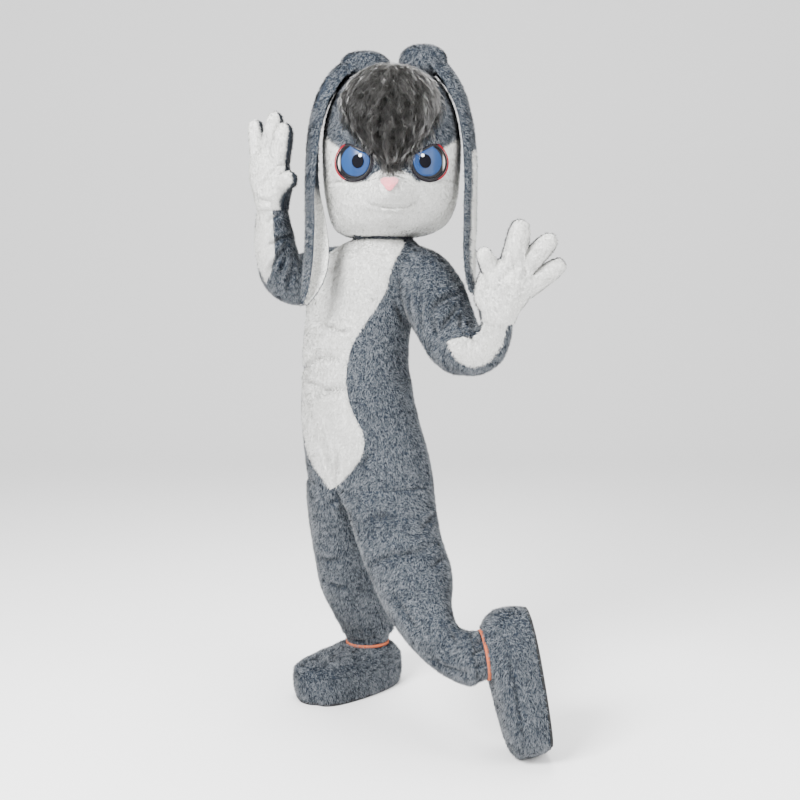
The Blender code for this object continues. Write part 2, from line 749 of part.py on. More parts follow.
def build_leg(side, sign, rows, foot):
    """Front and back panel of a trouser leg, joined at the outer and inner seam, and its cuff."""
    tube = Tube(rows, FRONT, LEG_FOLDS, crotch_section(sign), foot.up)
    last = len(rows) - 1.0
    cuff_start = last - CUFF_ROWS_FROM_END
    heights = stretch(tube, 0.0, cuff_start, 12)
    outer_seam = LEG_OUTSEAM * sign
    inner_seam = outer_seam - 180.0 * sign
    low, high = sorted((inner_seam, outer_seam))
    panel(f"suit_leg_front_{side}", tube, heights, lambda t: low, lambda t: high, 8, PLUSH, "grey_plush")
    panel(f"suit_leg_back_{side}", tube, heights, lambda t: high, lambda t: low + 360.0, 8, PLUSH, "grey_plush")
    cuff = [level(tube, cuff_start, -0.5 * SEAM_GAP)] + steps(cuff_start, last, 3)[1:]
    ring_wall(f"suit_ankle_cuff_{side}", tube, cuff, 22, 0.004, "grey_plush")


build_leg("right", -1, right_leg_rows, right_foot)
build_leg("left", 1, left_leg_rows, left_foot)

# Head: level rings of foam-backed plush, from the neck opening up to the crown
HEAD_X = -0.024
HEAD_ROWS = table(
    "z x half_width front back power",
    (1.402, -0.050, NECK_RADIUS + SLIP_GAP + FOAM, NECK_RADIUS + SLIP_GAP + FOAM, NECK_RADIUS + SLIP_GAP + FOAM, 2.0),
    (1.414, -0.040, 0.140, 0.140, 0.130, 2.1),
    (1.438, -0.030, 0.165, 0.172, 0.152, 2.3),
    (1.475, HEAD_X, 0.180, 0.188, 0.168, 2.4),
    (1.530, HEAD_X, 0.189, 0.200, 0.178, 2.4),
    (1.595, HEAD_X, 0.194, 0.203, 0.184, 2.4),
    (1.660, HEAD_X, 0.195, 0.198, 0.186, 2.4),
    (1.720, HEAD_X, 0.189, 0.187, 0.182, 2.3),
    (1.780, HEAD_X, 0.172, 0.166, 0.168, 2.2),
    (1.828, HEAD_X, 0.143, 0.136, 0.141, 2.1),
    (1.862, HEAD_X, 0.102, 0.096, 0.102, 2.0),
    (1.880, HEAD_X, 0.055, 0.051, 0.056, 2.0),
)
CROWN_TOP = 1.886
FACE_BUMPS = table(
    "x z spread_x spread_z depth",
    (0.000, 1.515, 0.052, 0.040, 0.050),
    (-0.036, 1.496, 0.030, 0.026, 0.014),
    (0.036, 1.496, 0.030, 0.026, 0.014),
    (0.000, 1.440, 0.045, 0.022, 0.012),
    (-0.110, 1.490, 0.050, 0.050, 0.010),
    (0.110, 1.490, 0.050, 0.050, 0.010),
    (0.000, 1.590, 0.020, 0.050, 0.012),
)


class Head:
    """Surface of the head: a rounded square ring at each height, with the muzzle raised in front."""

    rows = HEAD_ROWS

    def row_at(self, height):
        """Row position of a height, found by halving."""
        low, high = 0.0, len(self.rows) - 1.0
        for _ in range(40):
            middle = 0.5 * (low + high)
            if smooth_value(self.rows, "z", middle) < height:
                low = middle
            else:
                high = middle
        return 0.5 * (low + high)

    def bump(self, x, z):
        total = 0.0
        for bump in FACE_BUMPS:
            across = (x - bump["x"]) / bump["spread_x"]
            along = (z - bump["z"]) / bump["spread_z"]
            total += bump["depth"] * math.exp(-across * across - along * along)
        return total

    def flat_point(self, angle, t):
        across, ahead = math.sin(math.radians(angle)), math.cos(math.radians(angle))
        width = smooth_value(self.rows, "half_width", t)
        depth = smooth_value(self.rows, "front" if ahead > 0.0 else "back", t)
        power = smooth_value(self.rows, "power", t)
        value = (abs(across / width) ** power + abs(ahead / depth) ** power) ** (-1.0 / power)
        x, y = value * across, -value * ahead
        if ahead > 0.0:
            y -= self.bump(x, smooth_value(self.rows, "z", t)) * min(1.0, 3.0 * ahead)
        return x, y

    def points(self, angles, t, out):
        """Points of one ring, moved out along its level normal and, near the crown, upward."""
        centre = Vector((smooth_value(self.rows, "x", t), 0.0, smooth_value(self.rows, "z", t)))
        slope = self.slope(t)
        found = []
        for angle in angles:
            x, y = self.flat_point(angle, t)
            x1, y1 = self.flat_point(angle - 1.5, t)
            x2, y2 = self.flat_point(angle + 1.5, t)
            run = math.hypot(x2 - x1, y2 - y1)
            side = out * math.cos(slope) / run
            found.append(centre + Vector((x + side * (y2 - y1), y - side * (x2 - x1), out * math.sin(slope))))
        return found

    def slope(self, t):
        """Angle of the surface's normal above level, from how the rings narrow upward."""
        if t < 1.0:
            return 0.0
        step = 0.1
        rise = smooth_value(self.rows, "z", t + step) - smooth_value(self.rows, "z", t - step)
        narrowing = smooth_value(self.rows, "half_width", t - step) - smooth_value(self.rows, "half_width", t + step)
        return max(0.0, math.atan2(narrowing, max(rise, 1e-6)))

    def front_at(self, x, z, out=0.0):
        """Point of the front at a place across and up, moved forward by out."""
        t = self.row_at(z)
        width = smooth_value(self.rows, "half_width", t)
        depth = smooth_value(self.rows, "front", t)
        power = smooth_value(self.rows, "power", t)
        share = min(abs(x / width), 0.999) ** power
        y = -depth * (1.0 - share) ** (1.0 / power)
        y -= self.bump(x, z)
        return Vector((smooth_value(self.rows, "x", t) + x, y - out, z))


head = Head()
SIDE_ANGLE = 78.0
LAST_HEAD_ROW = len(HEAD_ROWS) - 1.0
WHITE_TOP = table(
    "height",
    (1.664,), (1.628,), (1.588,), (1.552,), (1.540,), (1.562,),
    (1.540,), (1.552,), (1.588,), (1.628,), (1.664,),
)
FACE_COLUMNS = 17
FACE_ROWS = 10


def white_top_row(share):
    """Row position where the white of the face ends, at a share of the way round the front."""
    return head.row_at(smooth_value(WHITE_TOP, "height", share * (len(WHITE_TOP) - 1.0)))


def head_patch(name, bottom, top, count, finish):
    """Panel over the front of the head between two curves, each giving a row for a share across."""
    trim = 0.0012
    outer = [[] for _ in range(count)]
    inner = [[] for _ in range(count)]
    for j in range(FACE_COLUMNS):
        share = j / (FACE_COLUMNS - 1)
        edge = trim if j == 0 else -trim if j == FACE_COLUMNS - 1 else 0.0
        angle = -SIDE_ANGLE + 2.0 * SIDE_ANGLE * share + math.degrees(edge)
        for i, t in enumerate(steps(bottom(share), top(share), count)):
            outer[i].append(head.points([angle], t, 0.0)[0])
            inner[i].append(head.points([angle], t, -FOAM)[0])
    return wall(name, outer, inner, finish)


ROW_TRIM = 0.006
CROWN_ROW = 9.6
head_patch("head_face_white", lambda s: 0.0, lambda s: white_top_row(s) - ROW_TRIM, FACE_ROWS, "white_plush")
head_patch("head_forehead", lambda s: white_top_row(s) + ROW_TRIM, lambda s: CROWN_ROW - ROW_TRIM, 5, "grey_plush")
side_rows = steps(0.0, CROWN_ROW - ROW_TRIM, 10)
for side, first, last in (("left", SIDE_ANGLE, 180.0), ("right", 180.0, 360.0 - SIDE_ANGLE)):
    panel(f"head_side_{side}", head, side_rows, lambda t: first, lambda t: last, 7, FOAM, "grey_plush")
crown_rows = steps(CROWN_ROW + 3.0 * ROW_TRIM, LAST_HEAD_ROW, 2)
crown_angles = [360.0 * j / 20 for j in range(20)]
crown_tips = (Vector((HEAD_X, 0.0, CROWN_TOP)), Vector((HEAD_X, 0.0, CROWN_TOP - FOAM)))
wall(
    "head_crown",
    [head.points(crown_angles, t, 0.0) for t in crown_rows],
    [head.points(crown_angles, t, -FOAM) for t in crown_rows],
    "grey_plush", wrap=True, pole=crown_tips,
)

# Pieces on the face: each outline is a closed curve about its own middle, laid over the face
EYE_Z = 1.5945
EYE_OUT = 0.101
LAYER_GAP = 0.0011
HIGHLIGHT_SEAT = 0.0004
EYE_SEAT = 0.0042
EYE_DOME = 0.010


def eye_outline(side, scale):
    """Half sizes of the eye by direction: a slanted lid above, a round lower edge."""

    def radius(angle):
        across, up = math.cos(angle), math.sin(angle)
        outward = across * side
        half = 0.050 + 0.003 * max(0.0, outward)
        value = 1.0 / math.hypot(across / half, up / 0.053)
        if up > 0.0:
            lid = (0.040 + 0.010 * outward) / max(up - 0.32 * outward * up, 0.05)
            value = min(value, lid)
        return value * scale

    return radius


def face_piece(name, x, z, radius, low, high, rings, count, finish, hole=None, dome=None):
    """Closed plate laid over the face, from low to high in front of it, with an optional hole."""
    angles = [2.0 * math.pi * j / count for j in range(count)]

    def place(angle, share, out):
        inner_edge = hole(angle) if hole else 0.0
        reach = inner_edge + (radius(angle) - inner_edge) * share
        px, pz = x + reach * math.cos(angle), z + reach * math.sin(angle)
        rise = dome(px, pz) if dome else 0.0
        return head.front_at(px, pz, out + rise)

    shares = steps(0.0, 1.0, rings) if hole else steps(1.0 / rings, 1.0, rings)
    shares.reverse()
    outer = [[place(a, share, high) for a in angles] for share in shares]
    inner = [[place(a, share, low) for a in angles] for share in shares]
    if hole:
        return wall(name, outer, inner, finish, wrap=True)
    tips = (place(0.0, 0.0, high), place(0.0, 0.0, low))
    return wall(name, outer, inner, finish, wrap=True, pole=tips)


def build_eye(side, sign):
    """Eye of a dark rim round a white, with iris, pupil and highlight stacked on it."""
    x = EYE_OUT * sign + 0.001

    def dome(px, pz):
        away = ((px - x) / 0.056) ** 2 + ((pz - EYE_Z) / 0.056) ** 2
        return EYE_DOME * max(0.0, 1.0 - away)

    rim_outer = eye_outline(sign, 1.00)
    rim_inner = eye_outline(sign, 0.90)
    edging_outer = eye_outline(sign, 1.08)

    def white_edge(angle):
        return rim_inner(angle) - SEAM_GAP

    def edging_hole(angle):
        return rim_outer(angle) + SEAM_GAP

    seat = EYE_SEAT
    level_1 = seat + 0.0022
    level_2 = level_1 + LAYER_GAP + 0.0016
    level_3 = level_2 + LAYER_GAP + 0.0012
    iris_x = x - 0.006 * sign
    face_piece(f"eye_edging_{side}", x, EYE_Z, edging_outer, seat + 0.0026, seat + 0.0044, 2, 16, "crimson_felt", edging_hole)
    face_piece(f"eye_rim_{side}", x, EYE_Z, rim_outer, seat, seat + 0.0040, 2, 16, "eye_black", rim_inner, dome)
    face_piece(f"eye_white_{side}", x, EYE_Z, white_edge, seat, level_1, 2, 16, "eye_white", None, dome)

    def iris_edge(angle):
        shift_x, shift_z = iris_x - x, 0.001
        full = 0.0425
        reach = full
        for _ in range(12):
            px = shift_x + reach * math.cos(angle)
            pz = shift_z + reach * math.sin(angle)
            limit = rim_inner(math.atan2(pz, px)) - 0.0012
            if math.hypot(px, pz) <= limit:
                break
            reach *= 0.96
        return reach

    face_piece(
        f"eye_iris_{side}", iris_x, EYE_Z + 0.001, iris_edge,
        level_1 + LAYER_GAP, level_2, 2, 16, "eye_blue", None, dome,
    )
    pupil_x = iris_x - 0.004 * sign
    face_piece(
        f"eye_pupil_{side}", pupil_x, EYE_Z - 0.001, lambda a: 0.0165 + 0.003 * math.sin(a) ** 2,
        level_2 + LAYER_GAP, level_3, 2, 12, "eye_black", None, dome,
    )
    face_piece(
        f"eye_highlight_{side}", iris_x - 0.011 * sign, EYE_Z + 0.014, lambda a: 0.0050,
        level_3 + HIGHLIGHT_SEAT, level_3 + HIGHLIGHT_SEAT + 0.0010, 2, 8, "eye_white", None, dome,
    )


build_eye("left", 1)
build_eye("right", -1)


def nose_outline(angle):
    """Rounded triangle, wide at the top and narrow below."""
    return 0.0225 + 0.0050 * math.cos(3.0 * (angle + 0.5 * math.pi)) - 0.0035 * math.sin(angle) ** 2


NOSE_X, NOSE_Z = -0.004, 1.532
NOSE_SEAT = -0.0003


def nose_dome(px, pz):
    away = ((px - NOSE_X) / 0.028) ** 2 + ((pz - NOSE_Z) / 0.024) ** 2
    return 0.010 * max(0.0, 1.0 - away)


face_piece("nose", NOSE_X, NOSE_Z, nose_outline, NOSE_SEAT, 0.0035, 2, 16, "pink_velvet", None, nose_dome)

# Forelock: a thick fur piece over the brow and crown, its pile raised as locks
FORELOCK_ROWS = table(
    "z middle half_width pile",
    (1.588, 0.004, 0.016, 0.010),
    (1.622, 0.004, 0.051, 0.018),
    (1.662, 0.003, 0.083, 0.022),
    (1.708, 0.000, 0.112, 0.024),
    (1.756, -0.002, 0.130, 0.026),
    (1.800, -0.002, 0.120, 0.028),
    (1.836, -0.002, 0.090, 0.028),
    (1.860, -0.002, 0.050, 0.024),
)
FORELOCK_SEAT = 0.0048


def build_forelock():
    """One closed pad that follows the brow, with lock-shaped ridges in its outer points."""
    outer, inner = [], []
    columns = 13
    for t in steps(0.0, len(FORELOCK_ROWS) - 1.0, 9):
        z = smooth_value(FORELOCK_ROWS, "z", t)
        middle = smooth_value(FORELOCK_ROWS, "middle", t)
        half = smooth_value(FORELOCK_ROWS, "half_width", t)
        pile = smooth_value(FORELOCK_ROWS, "pile", t)
        row_outer, row_inner = [], []
        for share in steps(-1.0, 1.0, columns):
            x = middle + half * share
            lock = 0.5 + 0.5 * math.cos(2.0 * math.pi * (4.0 * share + 0.35 * t))
            height = pile * (1.0 - 0.75 * share**4) * (0.70 + 0.30 * lock)
            row_inner.append(head.front_at(x, z, FORELOCK_SEAT))
            row_outer.append(head.front_at(x, z, FORELOCK_SEAT + height))
        outer.append(row_outer)
        inner.append(row_inner)
    return wall("forelock", outer, inner, "shaggy_fur")


build_forelock()

# Ears: each a long leaf folded lengthwise, which rises from the crown, folds over and hangs down
LEFT_EAR = table(
    "x y z arch span skirt turn",
    (0.004, 0.004, 1.8926, 0.0120, 0.036, 0.0, 0.0),
    (0.034, 0.000, 1.9180, 0.0300, 0.050, 0.0, 0.0),
    (0.078, -0.010, 1.9440, 0.0560, 0.057, 0.0, 2.0),
    (0.126, -0.018, 1.9000, 0.0440, 0.059, 0.0, 4.0),
    (0.172, -0.028, 1.8420, 0.0420, 0.058, 0.0, 6.0),
    (0.200, -0.044, 1.7620, 0.0380, 0.055, 0.0, 8.0),
    (0.212, -0.064, 1.6860, 0.0320, 0.051, 0.0, 12.0),
    (0.214, -0.082, 1.6050, 0.0260, 0.047, 0.0, 16.0),
    (0.212, -0.098, 1.5150, 0.0220, 0.044, 0.0, 20.0),
    (0.208, -0.124, 1.4300, 0.0200, 0.041, 0.0, 22.0),
    (0.204, -0.152, 1.3600, 0.0190, 0.039, 0.0, 24.0),
    (0.202, -0.180, 1.3050, 0.0160, 0.034, 0.0, 26.0),
    (0.202, -0.198, 1.2650, 0.0120, 0.024, 0.0, 28.0),
    (0.202, -0.206, 1.2400, 0.0080, 0.012, 0.0, 30.0),
)
RIGHT_EAR = table(
    "x y z arch span skirt turn",
    (-0.036, 0.004, 1.8944, 0.0100, 0.034, 0.004, 0.0),
    (-0.064, 0.000, 1.9100, 0.0220, 0.048, 0.004, 0.0),
    (-0.100, -0.006, 1.9190, 0.0360, 0.057, 0.004, -2.0),
    (-0.142, -0.014, 1.9070, 0.0410, 0.059, 0.004, -4.0),
    (-0.186, -0.024, 1.8760, 0.0420, 0.058, 0.004, -5.0),
    (-0.225, -0.040, 1.8280, 0.0420, 0.056, 0.004, -6.0),
    (-0.250, -0.058, 1.7560, 0.0370, 0.053, 0.004, -8.0),
    (-0.262, -0.074, 1.6760, 0.0320, 0.050, 0.004, -8.0),
    (-0.266, -0.092, 1.5800, 0.0310, 0.047, 0.004, -4.0),
    (-0.266, -0.110, 1.4850, 0.0360, 0.038, 0.008, 8.0),
    (-0.264, -0.136, 1.3960, 0.0440, 0.031, 0.018, 20.0),
    (-0.264, -0.162, 1.3100, 0.0440, 0.028, 0.022, 26.0),
    (-0.270, -0.174, 1.2500, 0.0330, 0.020, 0.012, 26.0),
    (-0.276, -0.176, 1.2100, 0.0160, 0.010, 0.004, 26.0),
)
EAR_BENDS = table(
    "row length depth",
    (8.0, 0.22, -0.005),
    (10.4, 0.25, -0.005),
)


class Ear:
    """Surface of an ear: at each row an arch over a span, with one flank drawn out as a skirt."""

    def __init__(self, rows, outward):
        self.rows = rows
        self.outward = outward

    def centre(self, t):
        return Vector([smooth_value(self.rows, axis, t) for axis in "xyz"])

    def frame(self, t):
        """Directions of the arch's top and of its span, at right angles to the ear's run."""
        run = (self.centre(t + 0.1) - self.centre(t - 0.1)).normalized()
        span = Vector((0.0, 1.0, 0.0))
        span = (span - run * span.dot(run)).normalized()
        top = run.cross(span) * self.outward
        turn = Matrix.Rotation(math.radians(smooth_value(self.rows, "turn", t)), 3, run)
        return turn @ top, turn @ span

    def points(self, angles, t, out):
        top, span = self.frame(t)
        arch = smooth_value(self.rows, "arch", t)
        half = smooth_value(self.rows, "span", t)
        skirt = smooth_value(self.rows, "skirt", t)
        bend = 0.0
        for row in EAR_BENDS:
            bend += row["depth"] * math.exp(-(((t - row["row"]) / row["length"]) ** 2))
        found = []
        for angle in angles:
            turned = math.radians(min(angle, 90.0))
            x, y = math.sin(turned), math.cos(turned)
            normal = Vector((x / half, y / arch)).normalized()
            drop = max(0.0, angle - 90.0) / 30.0 * skirt
            across = half * x + normal.x * out
            above = (arch + bend) * y - drop + normal.y * out
            found.append(self.centre(t) + span * across + top * (above - arch))
        return found


EAR_LAYER_GAP = 0.0009


def build_ear(side, rows, outward):
    """Grey outer layer and white inner layer of one ear."""
    ear = Ear(rows, outward)
    heights = steps(0.0, len(rows) - 1.0, 15)
    angles = [-90.0, -62.0, -24.0, 24.0, 62.0, 90.0]
    if max(row["skirt"] for row in rows) > 0.0:
        angles.append(120.0)
    under = -EAR_CLOTH - EAR_LAYER_GAP
    wall(
        f"ear_outer_{side}",
        [ear.points(angles, t, 0.0) for t in heights],
        [ear.points(angles, t, -EAR_CLOTH) for t in heights],
        "grey_plush",
    )
    wall(
        f"ear_inner_{side}",
        [ear.points(angles, t, under) for t in heights],
        [ear.points(angles, t, under - EAR_CLOTH) for t in heights],
        "white_plush",
    )


build_ear("left", LEFT_EAR, 1.0)
build_ear("right", RIGHT_EAR, -1.0)

# Gloves: plump fingers and a palm joined into one hollow form, split into palm and back
LEFT_FINGERS = table(
    "base_x base_z tip_x tip_z base_radius tip_radius forward",
    (-0.026, 0.030, -0.058, 0.086, 0.027, 0.0225, -0.014),
    (0.020, 0.060, 0.030, 0.152, 0.032, 0.0300, 0.000),
    (0.052, 0.056, 0.106, 0.124, 0.029, 0.0275, 0.002),
    (0.066, 0.002, 0.138, 0.066, 0.030, 0.0260, -0.004),
)
RIGHT_FINGERS = table(
    "base_x base_z tip_x tip_z base_radius tip_radius forward",
    (-0.040, -0.020, -0.094, -0.002, 0.027, 0.0240, -0.010),
    (-0.038, 0.044, -0.062, 0.120, 0.030, 0.0290, -0.002),
    (0.006, 0.064, -0.014, 0.152, 0.028, 0.0270, 0.004),
    (0.050, 0.058, 0.070, 0.134, 0.026, 0.0240, 0.000),
)
PALM_ROWS = table(
    "x z half_width half_depth dome",
    (0.000, -0.088, 0.0, 0.0, 0.0),
    (0.000, -0.062, 0.052, 0.0490, 0.0),
    (0.000, -0.040, 0.068, 0.050, 0.0),
    (0.006, -0.006, 0.078, 0.048, 0.0),
    (0.012, 0.032, 0.076, 0.044, 0.0),
    (0.016, 0.058, 0.060, 0.034, 0.6),
    (0.020, 0.074, 0.032, 0.020, 1.0),
)
GLOVE_MOUTH = WRIST_RADIUS + WRIST_SLIP + GLOVE_WALL
PALM_SPLIT = 0.006


def finger_form(name, place, row, shrink, count=8):
    """Filled finger: a tapering round with a domed tip and a domed root."""
    base = Vector((row["base_x"], 0.0, row["base_z"]))
    tip = Vector((row["tip_x"], row["forward"], row["tip_z"]))
    run = (tip - base).normalized()
    across = run.cross(Vector((0.0, 1.0, 0.0))).normalized()
    toward = across.cross(run)
    rings = []
    for centre, radius, tilt in (
        (base, row["base_radius"], 0.0),
        (tip, row["tip_radius"], 0.0), (tip, row["tip_radius"], 45.0),
    ):
        size = radius - shrink
        spread = size * math.cos(math.radians(tilt))
        ahead = size * math.sin(math.radians(tilt))
        ring = []
        for j in range(count):
            turn = 2.0 * math.pi * j / count
            ring.append(place(centre + run * ahead + across * spread * math.cos(turn)
                              + toward * spread * math.sin(turn)))
        rings.append(ring)
    tips = (
        place(base - run * (row["base_radius"] - shrink) * 0.7),
        place(tip + run * (row["tip_radius"] - shrink)),
    )
    return closed_form(name, rings, tips)


def palm_form(name, place, shrink, drop, count=12):
    """Filled palm, from the round mouth of the glove up to the knuckles."""
    rings = []
    for k, row in enumerate(PALM_ROWS):
        width = (row["half_width"] or GLOVE_MOUTH) - shrink
        depth = (row["half_depth"] or GLOVE_MOUTH) - shrink
        height = row["z"] - shrink * row["dome"] - (drop if k == 0 else 0.0)
        ring = []
        for j in range(count):
            turn = 2.0 * math.pi * j / count
            ring.append(place(Vector((row["x"] + width * math.cos(turn), depth * math.sin(turn), height))))
        rings.append(ring)
    tips = (
        place(Vector((0.0, 0.0, PALM_ROWS[0]["z"] - drop))),
        place(Vector((0.010, 0.0, PALM_ROWS[-1]["z"] + 0.008 - shrink))),
    )
    return closed_form(name, rings, tips)


def glove_form(name, place, fingers, shrink, drop):
    """Filled glove, all its parts joined."""
    form = palm_form(name, place, shrink, drop)
    for row in fingers:
        finger = finger_form("finger_form", place, row, shrink)
        combine(form, finger, "UNION")
        discard(finger)
    return form


def half_space(name, place, near, far):
    """Block on one side of the plane that parts the palm from the back of the glove."""
    reach = 0.30
    rings = []
    for y in (near, far):
        corners = ((-reach, -reach), (reach, -reach), (reach, reach), (-reach, reach))
        rings.append([place(Vector((x, y, z))) for x, z in corners])
    return closed_form(name, rings)


def build_glove(side, wrist, axis, facing, mirror, fingers):
    """White palm and dark back of one glove, placed over the end of its sleeve."""
    up = axis.normalized()
    back = -(facing - up * facing.dot(up)).normalized()
    right = back.cross(up)

    def place(p):
        return wrist + right * p.x * mirror + back * p.y + up * (p.z - PALM_ROWS[0]["z"])

    outer = glove_form(f"glove_palm_{side}", place, fingers, 0.0, 0.0)
    inner = glove_form("glove_hollow", place, fingers, GLOVE_WALL, 0.010)
    combine(outer, inner, "DIFFERENCE")
    split_bodies(outer, 1.0)
    rear = outer.copy()
    rear.data = outer.data.copy()
    rear.name = f"glove_back_{side}"
    bpy.context.collection.objects.link(rear)
    behind = half_space("behind", place, PALM_SPLIT - 0.5 * SEAM_GAP, 0.4)
    ahead = half_space("ahead", place, -0.4, PALM_SPLIT + 0.5 * SEAM_GAP)
    combine(outer, behind, "DIFFERENCE")
    combine(rear, ahead, "DIFFERENCE")
    split_bodies(outer, 1.0)
    split_bodies(rear, 1.0)
    discard(inner, behind, ahead)
    for piece, finish in ((outer, "white_plush"), (rear, "dark_plush")):
        material = piece.data.materials[0].copy()
        material.name = piece.name + "_" + finish
        colour = FINISHES[finish][0]
        material.node_tree.nodes["Principled BSDF"].inputs["Base Color"].default_value = (*colour, 1.0)
        piece.data.materials.clear()
        piece.data.materials.append(material)


CUFF_OVERLAP_ROW = 9.1
left_wrist = left_sleeve.centre(CUFF_OVERLAP_ROW)
right_wrist = right_sleeve.centre(CUFF_OVERLAP_ROW)
left_axis = left_sleeve.centre(SLEEVE_END_ROW) - left_sleeve.centre(SLEEVE_END_ROW - 0.6)
right_axis = right_sleeve.centre(SLEEVE_END_ROW) - right_sleeve.centre(SLEEVE_END_ROW - 0.6)
build_glove("left", left_wrist, left_axis, Vector((0.10, -1.0, 0.0)), 1.0, LEFT_FINGERS)
build_glove("right", right_wrist, right_axis, Vector((-0.72, -0.69, 0.0)), -1.0, RIGHT_FINGERS)
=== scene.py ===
"""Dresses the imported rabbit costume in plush, with its folds, seams, eyes, forelock and studio."""

import logging
import math
from collections.abc import Iterator
from dataclasses import dataclass, replace
from enum import Enum

import bpy
import numpy as np
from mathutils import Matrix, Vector
from mathutils.bvhtree import BVHTree


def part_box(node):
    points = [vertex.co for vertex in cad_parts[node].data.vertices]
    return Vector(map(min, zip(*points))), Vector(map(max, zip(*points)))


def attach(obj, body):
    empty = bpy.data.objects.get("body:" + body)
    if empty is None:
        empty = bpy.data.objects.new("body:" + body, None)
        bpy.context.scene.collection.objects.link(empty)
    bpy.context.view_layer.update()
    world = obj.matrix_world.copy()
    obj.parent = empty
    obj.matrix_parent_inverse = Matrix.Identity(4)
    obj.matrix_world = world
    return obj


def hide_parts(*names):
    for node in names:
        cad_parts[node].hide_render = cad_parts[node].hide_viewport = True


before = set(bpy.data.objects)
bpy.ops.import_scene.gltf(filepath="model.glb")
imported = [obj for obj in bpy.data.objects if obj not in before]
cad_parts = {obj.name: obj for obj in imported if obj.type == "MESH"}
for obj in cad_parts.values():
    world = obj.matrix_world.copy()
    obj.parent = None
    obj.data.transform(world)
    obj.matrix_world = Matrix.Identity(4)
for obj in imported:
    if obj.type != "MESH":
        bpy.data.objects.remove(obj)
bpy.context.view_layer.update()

logging.basicConfig(level=logging.INFO, format="%(message)s")
log = logging.getLogger("costume")

Colour = tuple[float, float, float]
Point = tuple[float, float, float]

SEED = 41
SIDES = ("left", "right")
MERGE = 0.00005
FLOOR_HEIGHT = -1.340
# faces that meet at more than this are the side and the cut edge of a panel
RIM_ANGLE = math.radians(58.0)

# the sizes of the plush's soft lumps, and the ridge beside a crease, in its depths and widths
LUMP_SIZES = (0.045, 0.021)
RIDGE_HEIGHT = 0.55
RIDGE_PLACE = 1.7
RIDGE_SHARPNESS = 1.6
CREASE_REACH = 3.2
VALLEY_REACH = 2.0

# how many strands stand on a square metre, the way they lie and the clumps they lie in
PILE_DENSITY = 150000.0
PILE_LIE = np.array((0.0, 0.0, -1.0))
CLUMP_SIZE = 0.0060
CLUMP_BLUR = 0.0025
CLUMP_TURN = 0.75
SWIRL_SIZE = 0.030
SWIRL_TURN = 0.8
STRAND_STRAY = 0.35
STRAND_ROLL = 0.55
ROOT_DEPTH = 0.0006
# how much shorter the strands are at the bottom of a crease, and how much painted shade darkens them there
VALLEY_SHORTER = 0.45
VALLEY_PAINTED_SHADE = 0.76


class Hold(Enum):
    """How a cloth panel is held on the costume."""

    HUNG = "hung"
    STRETCHED = "stretched"
    GATHERED = "gathered"


def cell_hash(cells: np.ndarray, seed: int) -> np.ndarray:
    """Gives each lattice cell its own number.

    Args:
        cells: whole-number cell positions, one row each.
        seed: which of many sets of numbers to use.

    Returns:
        One number from -1 to 1 for each cell.
    """
    mixed = cells[:, 0] * 73856093 ^ cells[:, 1] * 19349663 ^ cells[:, 2] * 83492791 ^ (seed * 7919)
    mixed = mixed & 0x7FFFFFFF
    mixed = ((mixed ^ (mixed >> 13)) * 1274126177) & 0x7FFFFFFF
    mixed = mixed ^ (mixed >> 16)
    return (mixed & 0xFFFF) / 32767.5 - 1.0


def lattice_noise(points: np.ndarray, size: float, seed: int) -> np.ndarray:
    """Smooth noise over space.

    Args:
        points: places in metres, one row each.
        size: the size of one lump in metres.
        seed: which of many patterns to use.

    Returns:
        One number from -1 to 1 for each place.
    """
    scaled = points / size
    base = np.floor(scaled).astype(np.int64)
    part = scaled - base
    part = part * part * (3.0 - 2.0 * part)
    total = np.zeros(len(points))
    for corner in range(8):
        step = np.array([corner & 1, (corner >> 1) & 1, (corner >> 2) & 1])
        weight = np.prod(np.where(step == 1, part, 1.0 - part), axis=1)
        total += weight * cell_hash(base + step, seed)
    return total


def unit(rows: np.ndarray) -> np.ndarray:
    """Each row scaled to length one."""
    return rows / np.maximum(np.linalg.norm(rows, axis=1, keepdims=True), 1e-9)


@dataclass(frozen=True)
class Crease:
    """One soft trough in the cloth, along a line of places in metres."""

    line: tuple[Point, ...]
    width: float
    depth: float

    def share(self, points: np.ndarray) -> tuple[np.ndarray, np.ndarray]:
        """How far each place lies from the line.

        Args:
            points: places in metres, one row each.

        Returns:
            The distance to the line in widths, and how near each place is to the line's middle.
        """
        best = np.full(len(points), 1e9)
        middle = np.zeros(len(points))
        line = np.array(self.line)
        spans = len(line) - 1
        for i in range(spans):
            along = line[i + 1] - line[i]
            t = np.clip((points - line[i]) @ along / max(along @ along, 1e-12), 0.0, 1.0)
            away = np.linalg.norm(points - (line[i] + t[:, None] * along), axis=1)
            nearer = away < best
            best = np.where(nearer, away, best)
            middle = np.where(nearer, (i + t) / spans, middle)
        return best / self.width, np.sin(np.pi * np.clip(middle, 0.06, 0.94))


@dataclass(frozen=True)
class Bulge:
    """A padded swelling under the cloth."""

    centre: Point
    reach: Point
    height: float

    def rise(self, points: np.ndarray) -> np.ndarray:
        """How far the cloth is lifted at each place."""
        away = (points - np.array(self.centre)) / np.array(self.reach)
        return self.height * np.exp(-np.sum(away * away, axis=1))


